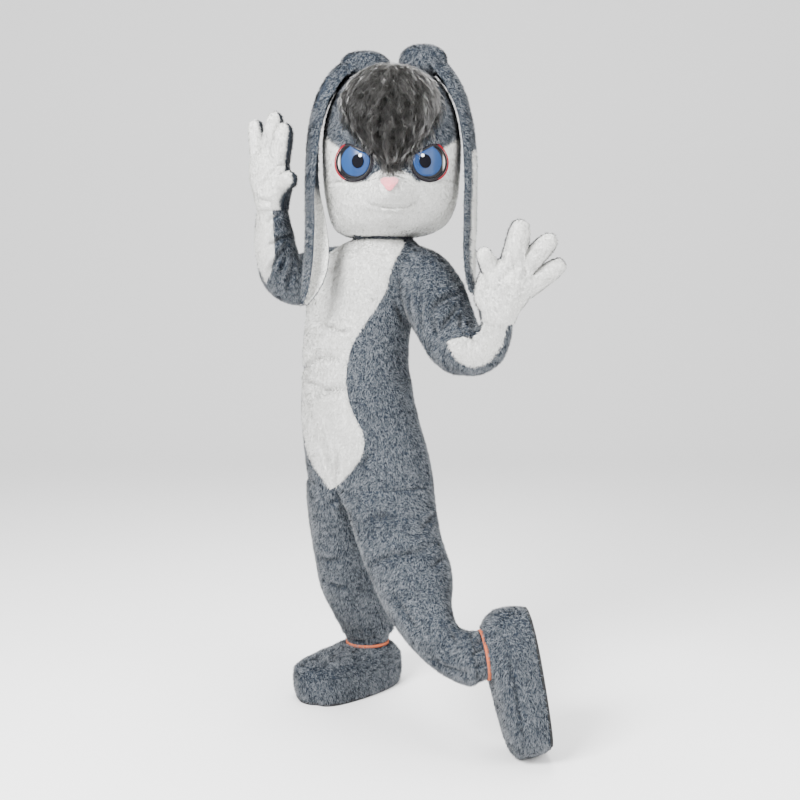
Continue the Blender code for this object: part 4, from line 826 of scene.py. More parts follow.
# each crease: its half width and its depth in metres, and the places along it in millimetres
CREASE_TABLE = (
    # left sleeve, and its armhole
    (0.009, 0.0114, ((195, -110, -28), (224, -156, -83), (232, -156, -100))),
    (0.0112, 0.0165, ((139, -240, -148), (150, -236, -126), (180, -229, -110), (216, -200, -105))),
    (0.009, 0.0152, ((139, -240, -148), (141, -254, -188), (149, -267, -219))),
    (0.0067, 0.0133, ((212, -232, -132), (179, -258, -169), (152, -269, -211))),
    (0.0067, 0.0133, ((214, -239, -148), (215, -274, -185), (231, -324, -212), (248, -356, -231))),
    (0.0101, 0.0114, ((110, -195, -59), (107, -218, -138), (110, -218, -203),
        (126, -222, -251), (158, -250, -290))),
    (0.009, 0.0076, ((77, -182, -92), (80, -181, -160))),
    (0.0078, 0.0114, ((31, -145, -119), (58, -117, -173))),
    # left palm
    (0.0067, 0.0114, ((282, -402, -119), (295, -406, -86), (307, -409, -61), (325, -404, -36))),
    (0.0056, 0.0114, ((325, -404, -109), (332, -409, -61), (340, -403, -31), (332, -403, -10))),
    (0.0056, 0.0114, ((359, -397, -102), (369, -399, -64), (372, -395, -25))),
    (0.0067, 0.0076, ((255, -387, -117), (270, -398, -92), (277, -401, -64))),
    # right sleeve, and one fold of the ear
    (0.0078, 0.0133, ((-327, -84, 31), (-287, -88, 54), (-256, -50, 69))),
    (0.0078, 0.0133, ((-325, -55, -38), (-300, -76, -7), (-277, -77, 29), (-266, -72, 54))),
    (0.0067, 0.0133, ((-304, -47, -63), (-281, -69, -16), (-267, -67, 29))),
    (0.0078, 0.0114, ((-278, -17, -100), (-263, -48, -46), (-254, -50, 5))),
    (0.0078, 0.0095, ((-319, -95, 103), (-286, -90, 120))),
    (0.0067, 0.0095, ((-210, -117, 223), (-189, -139, 218))),
    # right glove
    (0.0067, 0.0095, ((-273, -127, 254), (-309, -125, 222), (-333, -111, 193))),
    (0.0056, 0.0095, ((-315, -112, 338), (-321, -105, 311), (-344, -76, 296), (-363, -61, 292))),
    (0.0067, 0.0076, ((-356, -81, 171), (-331, -106, 158), (-300, -110, 149))),
    # waist seam, chest and belly
    (0.0067, 0.0095, ((-210, -18, -175), (-162, -89, -187), (-115, -124, -203), (-72, -140, -211))),
    (0.0078, 0.0057, ((-53, -143, -111), (-30, -148, -116), (-14, -150, -122))),
    (0.0101, 0.0133, ((-172, -97, -494), (-163, -104, -533), (-151, -112, -577), (-140, -121, -631))),
    (0.009, 0.0076, ((-125, -135, -546), (-128, -132, -586), (-134, -126, -633))),
    (0.0157, 0.0076, ((-202, -61, -406), (-171, -94, -380), (-124, -129, -368), (-84, -145, -375))),
    (0.0134, 0.0057, ((-212, -35, -298), (-162, -95, -280), (-107, -132, -287))),
    # knee and hem of the raised leg
    (0.0112, 0.0165, ((-40, -185, -860), (-5, -228, -830), (34, -245, -815),
        (102, -239, -806), (147, -193, -793))),
    (0.009, 0.0152, ((108, -200, -758), (126, -169, -736), (153, -111, -724))),
    (0.009, 0.0152, ((135, -264, -853), (152, -232, -835), (179, -163, -831))),
    (0.0067, 0.0133, ((245, -389, -1029), (268, -370, -1016), (282, -350, -1006))),
    (0.0067, 0.0133, ((228, -408, -1050), (255, -395, -1038), (278, -378, -1027))),
    (0.0067, 0.0114, ((239, -415, -1072), (260, -404, -1070), (274, -399, -1066))),
    (0.0101, 0.0114, ((115, -316, -1074), (165, -346, -1094), (204, -376, -1098), (234, -410, -1090))),
    # hip, thigh, shin and crotch
    (0.0112, 0.0076, ((-84, -159, -593), (-50, -170, -569), (-17, -171, -529))),
    (0.0146, 0.0076, ((-56, -186, -730), (-5, -204, -712), (44, -207, -717))),
    (0.0134, 0.0076, ((28, -261, -909), (61, -295, -961), (106, -329, -1012))),
    (0.0101, 0.0095, ((-117, -118, -663), (-139, -85, -691), (-176, -59, -711))),
    # knee and hem of the standing leg
    (0.0123, 0.0076, ((-196, 53, -887), (-152, 12, -889), (-110, -1, -874))),
    (0.0112, 0.0076, ((-174, 72, -965), (-137, 52, -978), (-94, 41, -970))),
    (0.0078, 0.0114, ((-118, 230, -1186), (-76, 188, -1190), (-19, 197, -1196))),
    (0.0056, 0.0095, ((-74, 153, -1137), (-69, 181, -1178))),
    (0.0056, 0.0095, ((-34, 156, -1135), (-32, 185, -1182))),
    # seam of the raised foot
    (0.0067, 0.0114, ((330, -414, -997), (341, -442, -1076), (359, -457, -1183),
        (372, -455, -1243), (364, -437, -1296))),
    # smile and the seams of the cheeks
    (0.0056, 0.0104, ((-47, -199, 159), (-34, -199, 143), (-7, -207, 134), (34, -207, 131),
        (72, -199, 135), (91, -199, 145), (99, -200, 159))),
    (0.0056, 0.0057, ((-154, -83, 206), (-114, -154, 205), (-69, -198, 204))),
    (0.0056, 0.0057, ((207, -82, 209), (171, -150, 209), (126, -196, 204))),
    # back of the waist
    (0.0134, 0.0133, ((-223, 84, -241), (-175, 132, -260), (-110, 142, -275),
        (-52, 128, -284), (-7, 101, -293))),
    (0.0112, 0.0114, ((-156, 139, -328), (-89, 142, -318), (-34, 119, -308), (14, 91, -299), (48, 46, -290))),
    # upper back
    (0.0134, 0.0095, ((-146, 148, -115), (-108, 152, -142), (-74, 146, -165), (-44, 134, -188))),
    (0.0123, 0.0095, ((40, 74, -171), (27, 90, -155), (14, 106, -141), (-1, 122, -126), (-17, 133, -108))),
    # seat
    (0.0123, 0.0114, ((-189, 139, -584), (-161, 161, -597), (-127, 173, -608),
        (-92, 177, -619), (-58, 176, -631))),
    (0.0123, 0.0114, ((68, 100, -563), (51, 120, -578), (32, 137, -593), (10, 151, -609), (-14, 164, -625))),
    # left side of the waist
    (0.0112, 0.0095, ((-191, -65, -286), (-208, -41, -298), (-223, -13, -309),
        (-231, 20, -320), (-231, 56, -331))),
    (0.0101, 0.0095, ((-160, -103, -371), (-184, -80, -365), (-204, -54, -358),
        (-221, -22, -352), (-231, 14, -345))),
    # back of the raised leg
    (0.0112, 0.0165, ((12, -113, -963), (49, -83, -967), (93, -67, -957),
        (137, -70, -937), (169, -93, -911))),
    (0.0101, 0.0152, ((77, -98, -991), (115, -84, -975), (151, -86, -949),
        (176, -104, -920), (190, -131, -891))),
    (0.0112, 0.0114, ((90, -173, -1065), (123, -155, -1066), (160, -149, -1056),
        (184, -170, -1033), (192, -199, -1016))),
    # back of the standing leg
    (0.0112, 0.0133, ((-207, 140, -862), (-185, 175, -857), (-150, 199, -853),
        (-109, 207, -853), (-68, 201, -857))),
    (0.0101, 0.0133, ((-158, 200, -886), (-119, 212, -875), (-76, 207, -869),
        (-40, 184, -870), (-16, 148, -877))),
    (0.0123, 0.0095, ((-181, 159, -748), (-151, 179, -753), (-117, 187, -759),
        (-83, 186, -768), (-50, 175, -777))),
    (0.0112, 0.0095, ((-193, 169, -1001), (-181, 202, -987), (-156, 226, -975),
        (-123, 241, -968), (-88, 244, -966))),
    # gathers round both hems, right and left in turn
    (0.0062, 0.0095, ((-165, 205, -1094), (-155, 224, -1116), (-145, 242, -1139))),
    (0.0062, 0.0095, ((125, -269, -1111), (149, -286, -1126), (174, -311, -1133))),
    (0.0062, 0.0095, ((-160, 242, -1076), (-150, 258, -1096), (-139, 274, -1117))),
    (0.0062, 0.0095, ((150, -240, -1126), (174, -262, -1141), (194, -290, -1148))),
    (0.0062, 0.0095, ((-132, 269, -1055), (-121, 282, -1074), (-111, 296, -1093))),
    (0.0062, 0.0095, ((183, -210, -1115), (207, -242, -1129), (224, -284, -1132))),
    (0.0062, 0.0095, ((-103, 271, -1030), (-90, 285, -1055), (-78, 298, -1080))),
    (0.0062, 0.0095, ((207, -230, -1083), (221, -265, -1094), (241, -286, -1114))),
    (0.0062, 0.0095, ((-63, 266, -1026), (-52, 277, -1050), (-42, 287, -1074))),
    (0.0062, 0.0095, ((207, -248, -1055), (227, -271, -1075), (267, -283, -1097))),
    (0.0062, 0.0095, ((-27, 246, -1032), (-19, 255, -1055), (-12, 264, -1077))),
    (0.0062, 0.0095, ((209, -264, -1046), (246, -276, -1058))),
    (0.0062, 0.0095, ((-8, 214, -1032), (0, 226, -1060), (7, 238, -1087))),
    (0.0062, 0.0095, ((207, -269, -1033), (250, -287, -1034))),
    # gathers at the front of the left hem
    (0.0056, 0.0076, ((215, -306, -1009), (233, -327, -1007), (246, -351, -1007))),
    (0.0056, 0.0076, ((184, -346, -998), (191, -353, -1009), (198, -368, -1022))),
    (0.0056, 0.0076, ((130, -339, -1055), (142, -344, -1065), (161, -353, -1078))),
    (0.0056, 0.0076, ((124, -308, -1092), (141, -318, -1102), (161, -333, -1110))),
    # back of the left sleeve
    (0.0101, 0.0152, ((116, -135, -229), (150, -114, -235), (188, -106, -230),
        (225, -114, -215), (249, -137, -194))),
    (0.009, 0.0133, ((158, -159, -279), (186, -139, -272), (216, -132, -254),
        (242, -138, -230), (257, -156, -204))),
    (0.009, 0.0114, ((110, -80, -176), (137, -74, -181), (166, -74, -182),
        (193, -81, -181), (218, -95, -178))),
    (0.009, 0.0095, ((302, -255, -285), (304, -242, -272), (303, -235, -255),
        (300, -233, -237), (289, -237, -216))),
    # back of the right sleeve
    (0.0101, 0.0152, ((-261, 75, 9), (-286, 91, -8), (-305, 98, -35), (-316, 97, -67), (-321, 79, -89))),
    (0.009, 0.0133, ((-249, 49, 8), (-277, 65, 5), (-304, 74, -8), (-326, 70, -31), (-340, 60, -61))),
    (0.0101, 0.0114, ((-178, 135, 12), (-182, 153, -10), (-184, 163, -36),
        (-194, 161, -66), (-204, 150, -93))),
    (0.009, 0.0095, ((-255, 6, 30), (-273, 24, 34), (-297, 37, 34), (-323, 38, 26), (-344, 29, 11))),
)
CREASES = tuple(
    Crease(tuple((x / 1000.0, y / 1000.0, z / 1000.0) for x, y, z in line), width, depth)
    for width, depth, line in CREASE_TABLE
)

MATERIALS: dict[str, bpy.types.Material] = {}


def material_of(look: Plush | Smooth, strands: bool = False) -> bpy.types.Material:
    """The material of a finish, made once.

    Args:
        look: the finish.
        strands: whether the tufts' own material is wanted.

    Returns:
        The material.
    """
    key = f"{look.name}_{strands}"
    if key not in MATERIALS:
        MATERIALS[key] = look.strands() if strands else look.base()
    return MATERIALS[key]


class OutsideTest:
    """Tells a panel's outer face from its lining by looking out from it."""

    NEAR_START, NEAR_LOOK = 0.004, 0.016
    FAR_START = 0.009
    TRIED = 120
    LEAST_AREA = 0.06
    LEAST_FREE = 0.6

    def __init__(self) -> None:
        """Gathers all the solids."""
        points: list[np.ndarray] = []
        faces: list[tuple[int, ...]] = []
        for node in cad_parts.values():
            first = sum(len(rows) for rows in points)
            places = numbers(node.data.vertices, "co", 3)
            points.append(places)
            faces.extend(tuple(first + v for v in polygon.vertices) for polygon in node.data.polygons)
        self.tree = BVHTree.FromPolygons(np.vstack(points).tolist(), faces)

    def outer(self, mesh: bpy.types.Mesh, each: bool = False) -> np.ndarray:
        """Which faces lie outside.

        Args:
            mesh: a finished panel.
            each: whether every face is tried by itself, as a folded strip needs.

        Returns:
            True for each face of the outer side.
        """
        islands = self.islands(mesh)
        areas = numbers(mesh.polygons, "area", 1)
        centres = numbers(mesh.polygons, "center", 3)
        normals = numbers(mesh.polygons, "normal", 3)
        if each:
            starts = centres + self.NEAR_START * normals
            looks = ((Vector(start), Vector(way), self.NEAR_LOOK) for start, way in zip(starts, normals))
            return np.array([self.tree.ray_cast(*look)[0] is None for look in looks])
        picker = np.random.default_rng(SEED)
        free: dict[int, float] = {}
        for island in np.unique(islands):
            members = np.nonzero(islands == island)[0]
            if areas[members].sum() < self.LEAST_AREA * areas.sum():
                continue
            tried = picker.choice(members, min(len(members), self.TRIED), replace=False)
            looks = ((Vector(centres[i] + normals[i] * self.FAR_START), Vector(normals[i])) for i in tried)
            free[int(island)] = sum(self.tree.ray_cast(*look)[0] is None for look in looks) / len(tried)
        best = self.LEAST_FREE * max(free.values())
        return np.isin(islands, [island for island, share in free.items() if share > best])

    def islands(self, mesh: bpy.types.Mesh) -> np.ndarray:
        """Numbers the smooth stretches of a mesh, which its cut edges part.

        Args:
            mesh: a finished panel.

        Returns:
            One number for each face.
        """
        normals = numbers(mesh.polygons, "normal", 3)
        sides: dict[tuple[int, int], int] = {}
        parent = list(range(len(normals)))

        def root(i: int) -> int:
            """The first face of a stretch."""
            while parent[i] != i:
                parent[i] = parent[parent[i]]
                i = parent[i]
            return i

        limit = math.cos(RIM_ANGLE * 0.8)
        for polygon in mesh.polygons:
            for key in polygon.edge_keys:
                other = sides.setdefault(key, polygon.index)
                if other != polygon.index and normals[other] @ normals[polygon.index] > limit:
                    parent[root(other)] = root(polygon.index)
        return np.array([root(i) for i in range(len(normals))])


@dataclass
class Ground:
    """The outer side of a panel, ready to be sown."""

    mesh: bpy.types.Mesh
    outer: np.ndarray

    def __post_init__(self) -> None:
        """Reads the outer faces and the way out at each of their corners."""
        self.mesh.calc_loop_triangles()
        corners = numbers(self.mesh.loop_triangles, "vertices", 3, np.int32)
        owner = numbers(self.mesh.loop_triangles, "polygon_index", 1, np.int32)
        self.places = numbers(self.mesh.vertices, "co", 3)
        self.corners = corners[self.outer[owner]]
        a, b, c = (self.places[self.corners[:, i]] for i in range(3))
        self.faces = np.cross(b - a, c - a)
        self.areas = 0.5 * np.linalg.norm(self.faces, axis=1)
        self.normals = np.zeros_like(self.places)
        for i in range(3):
            np.add.at(self.normals, self.corners[:, i], self.faces)
        self.normals = unit(self.normals)
        self.facing = unit(self.faces.sum(0)[None])[0]

    def scatter(self, count: int, picker: np.random.Generator) -> tuple[np.ndarray, np.ndarray]:
        """Picks places evenly over the side.

        Args:
            count: how many.
            picker: the random numbers to use.

        Returns:
            The places and the way out at each.
        """
        chosen = picker.choice(len(self.areas), count, p=self.areas / self.areas.sum())
        share = np.sqrt(picker.random(count))
        across = picker.random(count)
        weights = np.stack([1.0 - share, share * (1.0 - across), share * across], axis=1)
        roots = np.einsum("ij,ijk->ik", weights, self.places[self.corners[chosen]])
        up = unit(np.einsum("ij,ijk->ik", weights, self.normals[self.corners[chosen]]))
        return roots, unit(up + 0.35 * unit(self.faces[chosen]))


HEAD_MIDDLE = 0.028
# where the white of the face reaches over the grey: beside the eyes, and over the muzzle
WING_INNER, WING_FRONT = 0.088, -0.030
WING_FOOT, WING_TOP, WING_SLOPE = 0.105, 0.268, 0.8
MUZZLE_HEIGHT, MUZZLE_WIDE, MUZZLE_HIGH = 0.190, 0.064, 0.046
# where a palm's edge turns dark, and how deep the dark goes
PALM_TURN, PALM_BLUR, PALM_DEPTH = 0.36, 0.14, 0.004
# the white strip on the left ear, behind its front edge, and the height where the ears' lining turns dark
STRIP_START, STRIP_END, STRIP_TOP = 0.024, 0.062, 0.300
LINING_TOP = 0.190
# how far forward the left ear's front edge lies, at each height
EAR_FRONT = (
    (-0.035, 0.020, 0.090, 0.175, 0.265, 0.346, 0.422, 0.502),
    (-0.214, -0.191, -0.165, -0.142, -0.129, -0.115, -0.099, -0.086),
)


def second_share(node: str, places: np.ndarray, up: np.ndarray, facing: np.ndarray) -> np.ndarray:
    """How much of a plush's second colour each place takes.

    The white of the cheeks reaches up beside the eyes, and the sides of the palms are dark.

    Args:
        node: the panel's solid.
        places: places in metres, one row each.
        up: the way out of the cloth at each.
        facing: the way that the whole panel faces.

    Returns:
        One share from 0 to 1 for each place.
    """
    if node.startswith("glove_palm"):
        depth = (places - places.mean(0)) @ facing
        return np.clip((PALM_TURN - up @ facing) / PALM_BLUR, 0.0, 1.0) * (depth < PALM_DEPTH)
    if node.startswith("head_side") or node == "head_forehead":
        across = np.abs(places[:, 0] - HEAD_MIDDLE)
        below = places[:, 2] < WING_TOP + WING_SLOPE * (across - WING_FOOT)
        wing = below & (across > WING_INNER) & (places[:, 1] < WING_FRONT)
        muzzle = (across / MUZZLE_WIDE) ** 2 + ((places[:, 2] - MUZZLE_HEIGHT) / MUZZLE_HIGH) ** 2 < 1.0
        return (wing | (muzzle & (places[:, 1] < 0.0))).astype(float)
    if node == "ear_outer_left":
        behind = places[:, 1] - np.interp(places[:, 2], EAR_FRONT[0], EAR_FRONT[1])
        strip = (behind > STRIP_START) & (behind < STRIP_END) & (up[:, 0] > 0.2)
        return (strip & (places[:, 2] < STRIP_TOP)).astype(float)
    if node.startswith("ear_inner"):
        return (places[:, 2] > LINING_TOP).astype(float)
    return np.zeros(len(places))


class Lobe:
    """A round fold of plush, such as the root of an ear that stands on the head."""

    FULLNESS = 0.9
    UNEVEN = 0.06
    LUMP = 0.6

    def __init__(self, node: str, look: Plush, centre: Point, reach: Point) -> None:
        """Makes the fold's own form.

        Args:
            node: its name.
            look: its plush.
            centre: its middle.
            reach: its half sizes.
        """
        self.node = node
        clear_selection()
        bpy.ops.mesh.primitive_uv_sphere_add(
            segments=40, ring_count=24, radius=1.0, location=(0.0, 0.0, 0.0)
        )
        self.shell = bpy.context.object
        self.shell.name = f"{node}_fold"
        places = numbers(self.shell.data.vertices, "co", 3)
        places = np.sign(places) * np.abs(places) ** self.FULLNESS
        places *= 1.0 + self.UNEVEN * lattice_noise(places, self.LUMP, 61)[:, None]
        places = places * np.array(reach) + np.array(centre)
        # the ball's faces come in any order, so they are sorted for the pile to fall the same each time
        faces = sorted(self.turned(tuple(polygon.vertices)) for polygon in self.shell.data.polygons)
        mesh = bpy.data.meshes.new(f"{node}_fold")
        mesh.from_pydata(places.tolist(), [], faces)
        self.shell.data = mesh
        mesh.shade_smooth()
        mesh.materials.append(material_of(look))
        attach(self.shell, "root")
        log.info("fold %s", node)

    @staticmethod
    def turned(face: tuple[int, ...]) -> tuple[int, ...]:
        """The same face, told from its lowest corner."""
        start = face.index(min(face))
        return face[start:] + face[:start]


LOBES = (
    ("ear_root_left", GREY, (0.116, -0.018, 0.553), (0.066, 0.056, 0.042)),
    ("ear_root_right", GREY, (-0.048, -0.018, 0.538), (0.070, 0.056, 0.038)),
    ("neck_tab", DARK, (-0.0634, -0.060, 0.0663), (0.016, 0.010, 0.010)),
)


def strand_piece(
    name: str, mesh: bpy.types.Mesh, look: Plush, tones: np.ndarray, leaning: np.ndarray
) -> bpy.types.Object:
    """Finishes a mesh of strands and puts it on the costume.

    Args:
        name: the piece's name.
        mesh: its strands.
        look: its plush.
        tones: at each point, its place along the strand, tone, painted shade of the creases with a random
            tone, and share of the first colour.
        leaning: the way that each point catches the light.

    Returns:
        The piece.
    """
    mesh.color_attributes.new("pile", "FLOAT_COLOR", "POINT").data.foreach_set("color", tones.ravel())
    mesh.shade_smooth()
    mesh.normals_split_custom_set_from_vertices(leaning)
    piece = bpy.data.objects.new(name, mesh)
    bpy.context.scene.collection.objects.link(piece)
    mesh.materials.append(material_of(look, strands=True))
    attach(piece, "root")
    return piece


@dataclass
class Pile:
    """Sows the tufts of a plush over the outer side of its panel."""

    outside: OutsideTest
    folds: Folds
    strands: int = 0

    def sow(self, panel: Panel | Lobe, look: Plush) -> bpy.types.Object:
        """Covers a panel with tufts.

        Args:
            panel: the panel.
            look: its plush.

        Returns:
            The pile as one piece.
        """
        mesh = panel.shell.data
        outer = self.outside.outer(mesh, panel.node.startswith("ear_outer"))
        if panel.node.startswith("ear_outer"):
            away = unit(HEARTS.away(panel.node, numbers(mesh.polygons, "center", 3)))
            outer &= np.sum(away * numbers(mesh.polygons, "normal", 3), axis=1) > -0.25
        ground = Ground(mesh, outer)
        tinted = second_share(panel.node, ground.places, ground.normals, ground.facing)
        mesh.attributes.new("second", "FLOAT", "POINT").data.foreach_set("value", tinted)
        picker = np.random.default_rng(SEED + len(panel.node))
        count = int(ground.areas.sum() * PILE_DENSITY)
        roots, up = ground.scatter(count, picker)
        second = second_share(panel.node, roots, up, ground.facing)
        piece = self.strand_mesh(f"{panel.node}_pile", look, roots, up, second, picker)
        self.strands += count
        return piece

    def strand_mesh(
        self,
        name: str,
        look: Plush,
        roots: np.ndarray,
        up: np.ndarray,
        second: np.ndarray,
        picker: np.random.Generator,
    ) -> bpy.types.Object:
        """Makes one flat strand at each root.

        Args:
            name: the piece's name.
            look: its plush.
            roots: where each strand starts.
            up: the way out of the cloth there.
            second: the share of the second colour at each root.
            picker: the random numbers to use.

        Returns:
            The piece.
        """
        count = len(roots)
        blurred = roots + CLUMP_BLUR * picker.standard_normal((count, 3))
        cells = np.floor(blurred / CLUMP_SIZE).astype(np.int64)
        wander = np.stack([cell_hash(cells, seed) for seed in (11, 12, 13)], axis=1)
        swirl = np.stack([lattice_noise(roots, SWIRL_SIZE, seed) for seed in (21, 22, 23)], axis=1)
        wander += SWIRL_TURN * swirl
        lie = PILE_LIE + CLUMP_TURN * wander + STRAND_STRAY * picker.standard_normal((count, 3))
        lie = unit(lie - up * np.sum(lie * up, axis=1, keepdims=True))
        tone = 0.5 + 0.34 * look.contrast * cell_hash(cells, 17) + 0.22 * picker.standard_normal(count)
        valley = self.folds.valley(roots)
        slope = np.radians(look.lean + 9.0 * cell_hash(cells, 19) + 6.0 * picker.standard_normal(count))
        length = look.length * (0.82 + 0.36 * picker.random(count)) * (1.0 - VALLEY_SHORTER * valley)
        side = unit(np.cross(up, lie))
        roll = STRAND_ROLL * picker.standard_normal(count)
        side = side * np.cos(roll)[:, None] + up * np.sin(roll)[:, None]
        tips = roots + (lie * np.cos(slope)[:, None] + up * np.sin(slope)[:, None]) * length[:, None]
        half = side * (look.width * (0.38 + 0.24 * picker.random(count)))[:, None]
        low = roots - up * ROOT_DEPTH
        strand = np.stack([low - half, low + half, tips], axis=1)
        turned = np.sum(np.cross(strand[:, 1] - strand[:, 0], strand[:, 2] - strand[:, 0]) * up, axis=1) < 0.0
        strand[turned] = strand[turned][:, [1, 0, 2]]
        mesh = bpy.data.meshes.new(name)
        mesh.vertices.add(3 * count)
        mesh.vertices.foreach_set("co", strand.ravel())
        mesh.loops.add(3 * count)
        mesh.loops.foreach_set("vertex_index", np.arange(3 * count, dtype=np.int32))
        mesh.polygons.add(count)
        mesh.polygons.foreach_set("loop_start", np.arange(0, 3 * count, 3, dtype=np.int32))
        mesh.update(calc_edges=True)
        # painted shade: strands deep in a crease are darkened where shade falls, and a slow random tone runs
        # over the whole pile
        shade = (1.0 - VALLEY_PAINTED_SHADE * valley) * (0.94 + 0.12 * lattice_noise(roots, 0.09, 31))
        pile = np.ones((count, 3, 4), np.float32)
        pile[:, :, 0] = np.array([0.0, 0.0, 1.0])
        pile[:, :, 1] = np.clip(tone, 0.0, 1.0)[:, None]
        pile[:, :, 2] = np.clip(shade, 0.0, 1.0)[:, None]
        pile[:, :, 3] = 1.0 - second[:, None]
        leaning = unit(up + 0.30 * lie + 0.20 * side * np.sign(roll)[:, None])
        return strand_piece(name, mesh, look, pile, np.repeat(leaning, 3, axis=0))


@dataclass
class Forelock:
    """The long shaggy hair that falls from the top of the head over the brow."""

    outside: OutsideTest
    hairs: int = 10500
    steps: int = 5
    length: float = 0.050
    lock: float = 0.013
    lock_blur: float = 0.003
    low_lift: float = 0.004
    lift: float = 0.0045
    thin: float = 0.00034
    thicker: float = 0.00042

    def build(self) -> bpy.types.Object:
        """Roots the hair on the forelock's form and combs it down and outward.

        Returns:
            The hair as one piece.
        """
        panel = Panel("forelock", 1, None)
        panel.finish(LONG)
        low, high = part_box("forelock")
        picker = np.random.default_rng(SEED)
        mesh = panel.shell.data
        roots, out = Ground(mesh, self.outside.outer(mesh, True)).scatter(self.hairs, picker)
        blurred = roots + self.lock_blur * picker.standard_normal(roots.shape)
        cells = np.floor(blurred / self.lock).astype(np.int64)
        sway = 1.1 * cell_hash(cells, 51) + 1.0 * picker.standard_normal(self.hairs)
        phase = 3.1 * cell_hash(cells, 52)
        height = self.low_lift + self.lift * (1.0 + cell_hash(cells, 53)) * picker.random(self.hairs)
        length = self.length * (0.75 + 0.25 * cell_hash(cells, 54) + 0.35 * picker.random(self.hairs))
        at = roots - out * 0.001
        rows = [at]
        outs = [out]
        for step in range(1, self.steps + 1):
            share = np.clip((at[:, 2] - low.z) / (high.z - low.z), 0.0, 1.0)
            spread = (1.65 * share - 0.55) * (at[:, 0] - HEAD_MIDDLE) / 0.09
            across = spread + 0.40 * sway + 0.55 * np.sin(phase + 1.9 * step)
            comb = np.stack([across, np.full(self.hairs, -0.15), np.full(self.hairs, -1.0)], axis=1)
            comb = unit(comb - out * np.sum(comb * out, axis=1, keepdims=True))
            ahead = at + comb * (length / self.steps)[:, None]
            found = [self.outside.tree.find_nearest(Vector(place)) for place in ahead]
            out = unit(out + np.array([hit[1] for hit in found]))
            lift = height * math.sin(math.pi * (0.15 + 0.72 * step / self.steps))
            at = np.array([hit[0] for hit in found]) + out * lift[:, None]
            rows.append(at)
            outs.append(out)
        tone = 0.42 + 0.26 * cell_hash(cells, 55) + 0.34 * picker.standard_normal(self.hairs)
        return self.ribbons(np.array(rows), np.array(outs), np.clip(tone, 0.0, 1.0), picker)

    def ribbons(
        self, rows: np.ndarray, outs: np.ndarray, tone: np.ndarray, picker: np.random.Generator
    ) -> bpy.types.Object:
        """Makes each hair a narrow ribbon that ends in a point.

        Args:
            rows: the places along all hairs, root first.
            outs: the way out of the head at each place.
            tone: how pale each hair is.
            picker: the random numbers to use.

        Returns:
            The hair as one piece.
        """
        ahead = np.gradient(rows, axis=0)
        side = unit(np.cross(outs, ahead).reshape(-1, 3)).reshape(rows.shape)
        roll = 0.5 * picker.standard_normal(self.hairs)[None, :, None]
        side = side * np.cos(roll) + outs * np.sin(roll)
        taper = np.sqrt(1.0 - (np.arange(self.steps + 1) / self.steps) ** 2)[:, None, None]
        half = side * taper * (self.thin + self.thicker * picker.random(self.hairs))[None, :, None]
        corners = np.stack([rows[:-1] - half[:-1], rows[:-1] + half[:-1]], axis=1).reshape(-1, 3)
        places = np.vstack([corners, rows[-1]])
        count = self.hairs
        faces: list[tuple[int, ...]] = []
        for step in range(self.steps):
            left = 2 * step * count
            for i in range(left, left + count):
                if step + 1 < self.steps:
                    faces.append((i, i + count, i + 3 * count, i + 2 * count))
                else:
                    faces.append((i, i + count, i + 2 * count))
        mesh = bpy.data.meshes.new("forelock_hair")
        mesh.from_pydata(places.tolist(), [], faces)
        leaning = unit((outs + 0.5 * side * np.sign(roll)).reshape(-1, 3)).reshape(rows.shape)
        doubled = np.stack([leaning[:-1], leaning[:-1]], axis=1).reshape(-1, 3)
        along = np.repeat(np.minimum(1.0, np.arange(self.steps) / (self.steps - 1.5)), 2 * count)
        pile = np.ones((len(places), 4), np.float32)
        pile[:, 0] = np.concatenate([along, np.ones(count)])
        pile[:, 1] = np.concatenate([np.tile(tone, 2 * self.steps), tone])
        log.info("forelock: %d hairs", count)
        return strand_piece("forelock_hair", mesh, LONG, pile, np.vstack([doubled, leaning[-1]]))


@dataclass(frozen=True)
class Cut:
    """How one panel is cut, held and dressed."""

    node: str
    look: Plush | Smooth
    hold: Hold
    levels: int = 2


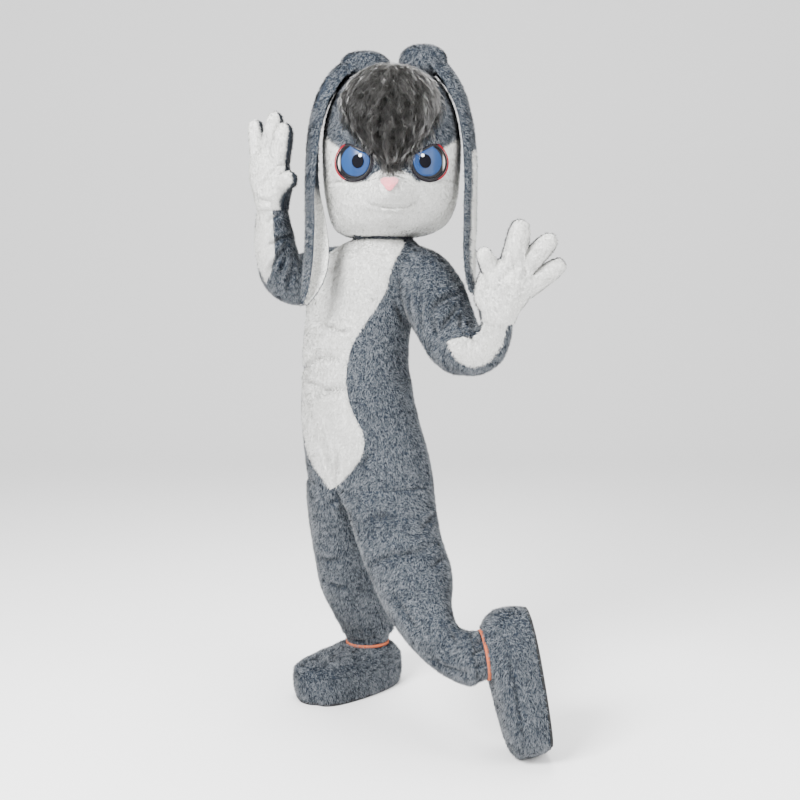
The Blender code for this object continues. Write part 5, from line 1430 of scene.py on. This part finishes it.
# the width, length and flat area of the cloth that each panel is cut from, in metres
CUT_SIZES = {
    "suit_chest": (0.275, 0.437, 0.0963),
    "suit_belly": (0.255, 0.433, 0.0882),
    "suit_back_fly": (0.032, 0.546, 0.0139),
    "suit_neckband": (0.153, 0.172, 0.0211),
    "suit_shoulder_right": (0.041, 0.094, 0.0031),
    "suit_front_side_left": (0.189, 0.747, 0.1132),
    "suit_front_side_right": (0.179, 0.606, 0.0869),
    "suit_back_left": (0.242, 0.727, 0.1406),
    "suit_back_right": (0.259, 0.731, 0.1517),
    "suit_sleeve_left": (0.493, 0.410, 0.1620),
    "suit_sleeve_right": (0.341, 0.306, 0.0833),
    "suit_forearm_grey_left": (0.249, 0.257, 0.0512),
    "suit_forearm_grey_right": (0.271, 0.243, 0.0528),
    "suit_forearm_white_left": (0.095, 0.197, 0.0150),
    "suit_forearm_white_right": (0.087, 0.244, 0.0170),
    "suit_leg_front_left": (0.363, 0.691, 0.2004),
    "suit_leg_front_right": (0.346, 0.665, 0.1841),
    "suit_leg_back_left": (0.344, 0.692, 0.1907),
    "suit_leg_back_right": (0.355, 0.622, 0.1765),
    "suit_ankle_cuff_left": (0.193, 0.139, 0.0214),
    "suit_ankle_cuff_right": (0.187, 0.149, 0.0223),
    "glove_back_left": (0.192, 0.293, 0.0451),
    "glove_back_right": (0.201, 0.275, 0.0443),
    "glove_palm_left": (0.257, 0.295, 0.0606),
    "glove_palm_right": (0.257, 0.279, 0.0573),
    "foot_band_left": (0.264, 0.411, 0.0867),
    "foot_band_right": (0.264, 0.411, 0.0866),
    "foot_top_left": (0.211, 0.405, 0.0685),
    "foot_top_right": (0.212, 0.404, 0.0686),
    "foot_binding_left": (0.057, 0.141, 0.0064),
    "foot_binding_right": (0.057, 0.141, 0.0064),
    "head_crown": (0.242, 0.240, 0.0464),
    "head_forehead": (0.449, 0.394, 0.1417),
    "head_face_white": (0.393, 0.401, 0.1258),
    "head_side_left": (0.420, 0.468, 0.1574),
    "head_side_right": (0.406, 0.467, 0.1519),
    "ear_outer_left": (0.150, 0.762, 0.0918),
    "ear_outer_right": (0.168, 0.776, 0.1040),
    "ear_inner_left": (0.137, 0.759, 0.0830),
    "ear_inner_right": (0.154, 0.772, 0.0953),
}


@dataclass
class Dressmaker:
    """Makes the panels of a sub-assembly and sows their pile."""

    folds: Folds
    pile: Pile

    def make(self, cuts: tuple[Cut, ...]) -> None:
        """Makes each panel in turn.

        Args:
            cuts: the panels.
        """
        for cut in cuts:
            panel = Panel(cut.node, cut.levels, self.folds if isinstance(cut.look, Plush) else None)
            panel.finish(cut.look)
            if isinstance(cut.look, Plush):
                self.pile.sow(panel, cut.look)
            width, length, area = CUT_SIZES[cut.node]
            log.info("%s: cut %.3f x %.3f m, %.4f m2", cut.node, width, length, area)


def both(node: str, look: Plush | Smooth, hold: Hold, levels: int = 2) -> tuple[Cut, ...]:
    """The same cut for the left and the right side."""
    return tuple(Cut(f"{node}_{side}", look, hold, levels) for side in SIDES)


@dataclass
class Suit:
    """The bodysuit: torso, sleeves, legs and neckband."""

    dressmaker: Dressmaker

    def build(self) -> None:
        """Makes the suit's panels."""
        self.dressmaker.make(
            (
                Cut("suit_chest", WHITE, Hold.HUNG),
                Cut("suit_belly", WHITE, Hold.HUNG),
                Cut("suit_back_fly", GREY, Hold.HUNG),
                Cut("suit_neckband", DARK, Hold.STRETCHED, 1),
                Cut("suit_shoulder_right", GREY, Hold.HUNG),
                *both("suit_front_side", GREY, Hold.HUNG),
                *both("suit_back", GREY, Hold.HUNG),
                *both("suit_sleeve", GREY, Hold.HUNG),
                *both("suit_forearm_grey", GREY, Hold.HUNG),
                *both("suit_forearm_white", WHITE, Hold.HUNG),
                *both("suit_leg_front", GREY, Hold.HUNG),
                *both("suit_leg_back", GREY, Hold.HUNG),
                *both("suit_ankle_cuff", GREY, Hold.GATHERED, 1),
            )
        )


@dataclass
class Hands:
    """The two padded gloves."""

    dressmaker: Dressmaker

    def build(self) -> None:
        """Makes the gloves' panels."""
        self.dressmaker.make(
            (*both("glove_back", DARK, Hold.STRETCHED, 1), *both("glove_palm", PALM, Hold.STRETCHED, 1))
        )


@dataclass
class Feet:
    """The two boxy feet with their soles and bindings."""

    dressmaker: Dressmaker

    def build(self) -> None:
        """Makes the feet."""
        self.dressmaker.make(
            (
                *both("foot_band", GREY, Hold.STRETCHED, 1),
                *both("foot_top", GREY, Hold.STRETCHED, 1),
                *both("foot_binding", ORANGE, Hold.STRETCHED, 1),
            )
        )
        for side in SIDES:
            sole = Panel(f"foot_sole_{side}", 1, None)
            sole.finish(RUBBER)
            log.info("sole %s", side)


@dataclass
class Head:
    """The head with its ears, eyes, nose and forelock."""

    dressmaker: Dressmaker

    def build(self) -> None:
        """Makes the head."""
        self.dressmaker.make(
            (
                Cut("head_crown", GREY, Hold.STRETCHED),
                Cut("head_forehead", GREY, Hold.STRETCHED),
                Cut("head_face_white", FACE, Hold.STRETCHED),
                *both("head_side", GREY, Hold.STRETCHED, 1),
                *both("ear_outer", GREY, Hold.STRETCHED, 1),
                *both("ear_inner", EAR_LINING, Hold.STRETCHED, 1),
            )
        )
        for side in SIDES:
            self.build_eye(side)
        Panel("nose", 2, Folds(bulges=BULGES, lump=0.0)).finish(PINK)
        Forelock(self.dressmaker.pile.outside).build()
        for node, look, centre, reach in LOBES:
            self.dressmaker.pile.sow(Lobe(node, look, centre, reach), look)

    def build_eye(self, side: str) -> None:
        """Makes one eye.

        Args:
            side: left or right.
        """
        low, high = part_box(f"eye_edging_{side}")
        centre, radius = (low + high) / 2.0, (high.x - low.x) / 2.0
        for part, paint in EYE_PAINTS:
            piece = Panel(f"eye_{part}_{side}", 2, None)
            piece.shell.data.materials.append(paint.material(side, centre, radius))
            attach(piece.shell, "root")
            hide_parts(piece.node)
        log.info("eye %s", side)


@dataclass
class Studio:
    """The pale floor, the soft lights and the camera."""

    camera_place: Point = (0.050, -3.4, -0.090)
    tilt: float = 84.6
    lens: float = 52.65
    half_width: float = 12.0
    half_length: float = 11.0
    flat: float = 13.0
    front: float = 8.0
    sweep: float = 3.0
    aim: Point = (0.0, 0.0, -0.4)

    def build(self) -> None:
        """Makes the studio: one sheet of paper that sweeps up behind, the lights and the camera."""
        clear_selection()
        bpy.ops.mesh.primitive_grid_add(
            x_subdivisions=2, y_subdivisions=90, size=2.0, location=(0.0, 0.0, 0.0)
        )
        floor = bpy.context.object
        floor.name = "studio_floor"
        for vertex in floor.data.vertices:
            run = self.half_length * (vertex.co.y + 1.0)
            turn = min(max(run - self.flat, 0.0) / self.sweep, math.pi / 2.0)
            rest = max(run - self.flat - self.sweep * turn, 0.0)
            vertex.co.x *= self.half_width
            vertex.co.y = min(run, self.flat) - self.front + self.sweep * math.sin(turn)
            vertex.co.z = FLOOR_HEIGHT + self.sweep - self.sweep * math.cos(turn) + rest
        floor.data.shade_smooth()
        made, _, shader = new_material("studio_paper")
        shader.inputs["Base Color"].default_value = (0.94, 0.94, 0.94, 1.0)
        shader.inputs["Roughness"].default_value = 0.9
        floor.data.materials.append(made)
        world = bpy.data.worlds.new("studio")
        world.use_nodes = True
        world.node_tree.nodes["Background"].inputs["Color"].default_value = (1.0, 1.0, 1.0, 1.0)
        world.node_tree.nodes["Background"].inputs["Strength"].default_value = 1.20
        bpy.context.scene.world = world
        for name, place, size, power in (
            ("key", (-1.8, -2.6, 1.6), 1.5, 430.0),
            ("fill", (2.4, -2.0, 0.6), 2.2, 120.0),
            ("top", (0.0, 0.6, 2.4), 2.0, 150.0),
        ):
            self.light(name, place, size, power)
        camera = bpy.data.objects.new("camera", bpy.data.cameras.new("camera"))
        bpy.context.scene.collection.objects.link(camera)
        camera.location = self.camera_place
        camera.rotation_euler = (math.radians(self.tilt), 0.0, 0.0)
        camera.data.lens = self.lens
        camera.data.sensor_width = 36.0
        bpy.context.scene.camera = camera

    def light(self, name: str, place: Point, size: float, power: float) -> None:
        """Hangs one soft light.

        Args:
            name: its name.
            place: where it hangs.
            size: how wide it is.
            power: its power in watts.
        """
        lamp = bpy.data.lights.new(name, "AREA")
        lamp.size = size
        lamp.energy = power
        held = bpy.data.objects.new(name, lamp)
        bpy.context.scene.collection.objects.link(held)
        held.location = place
        held.rotation_euler = (Vector(self.aim) - Vector(place)).to_track_quat("-Z", "Y").to_euler()


def main() -> None:
    """Builds the dressed costume."""
    folds = Folds(CREASES, BULGES)
    pile = Pile(OutsideTest(), folds)
    dressmaker = Dressmaker(folds, pile)
    for part in (Suit(dressmaker), Hands(dressmaker), Feet(dressmaker), Head(dressmaker), Studio()):
        part.build()
    log.info("strands: %d", pile.strands)


if __name__ == "__main__":
    main()
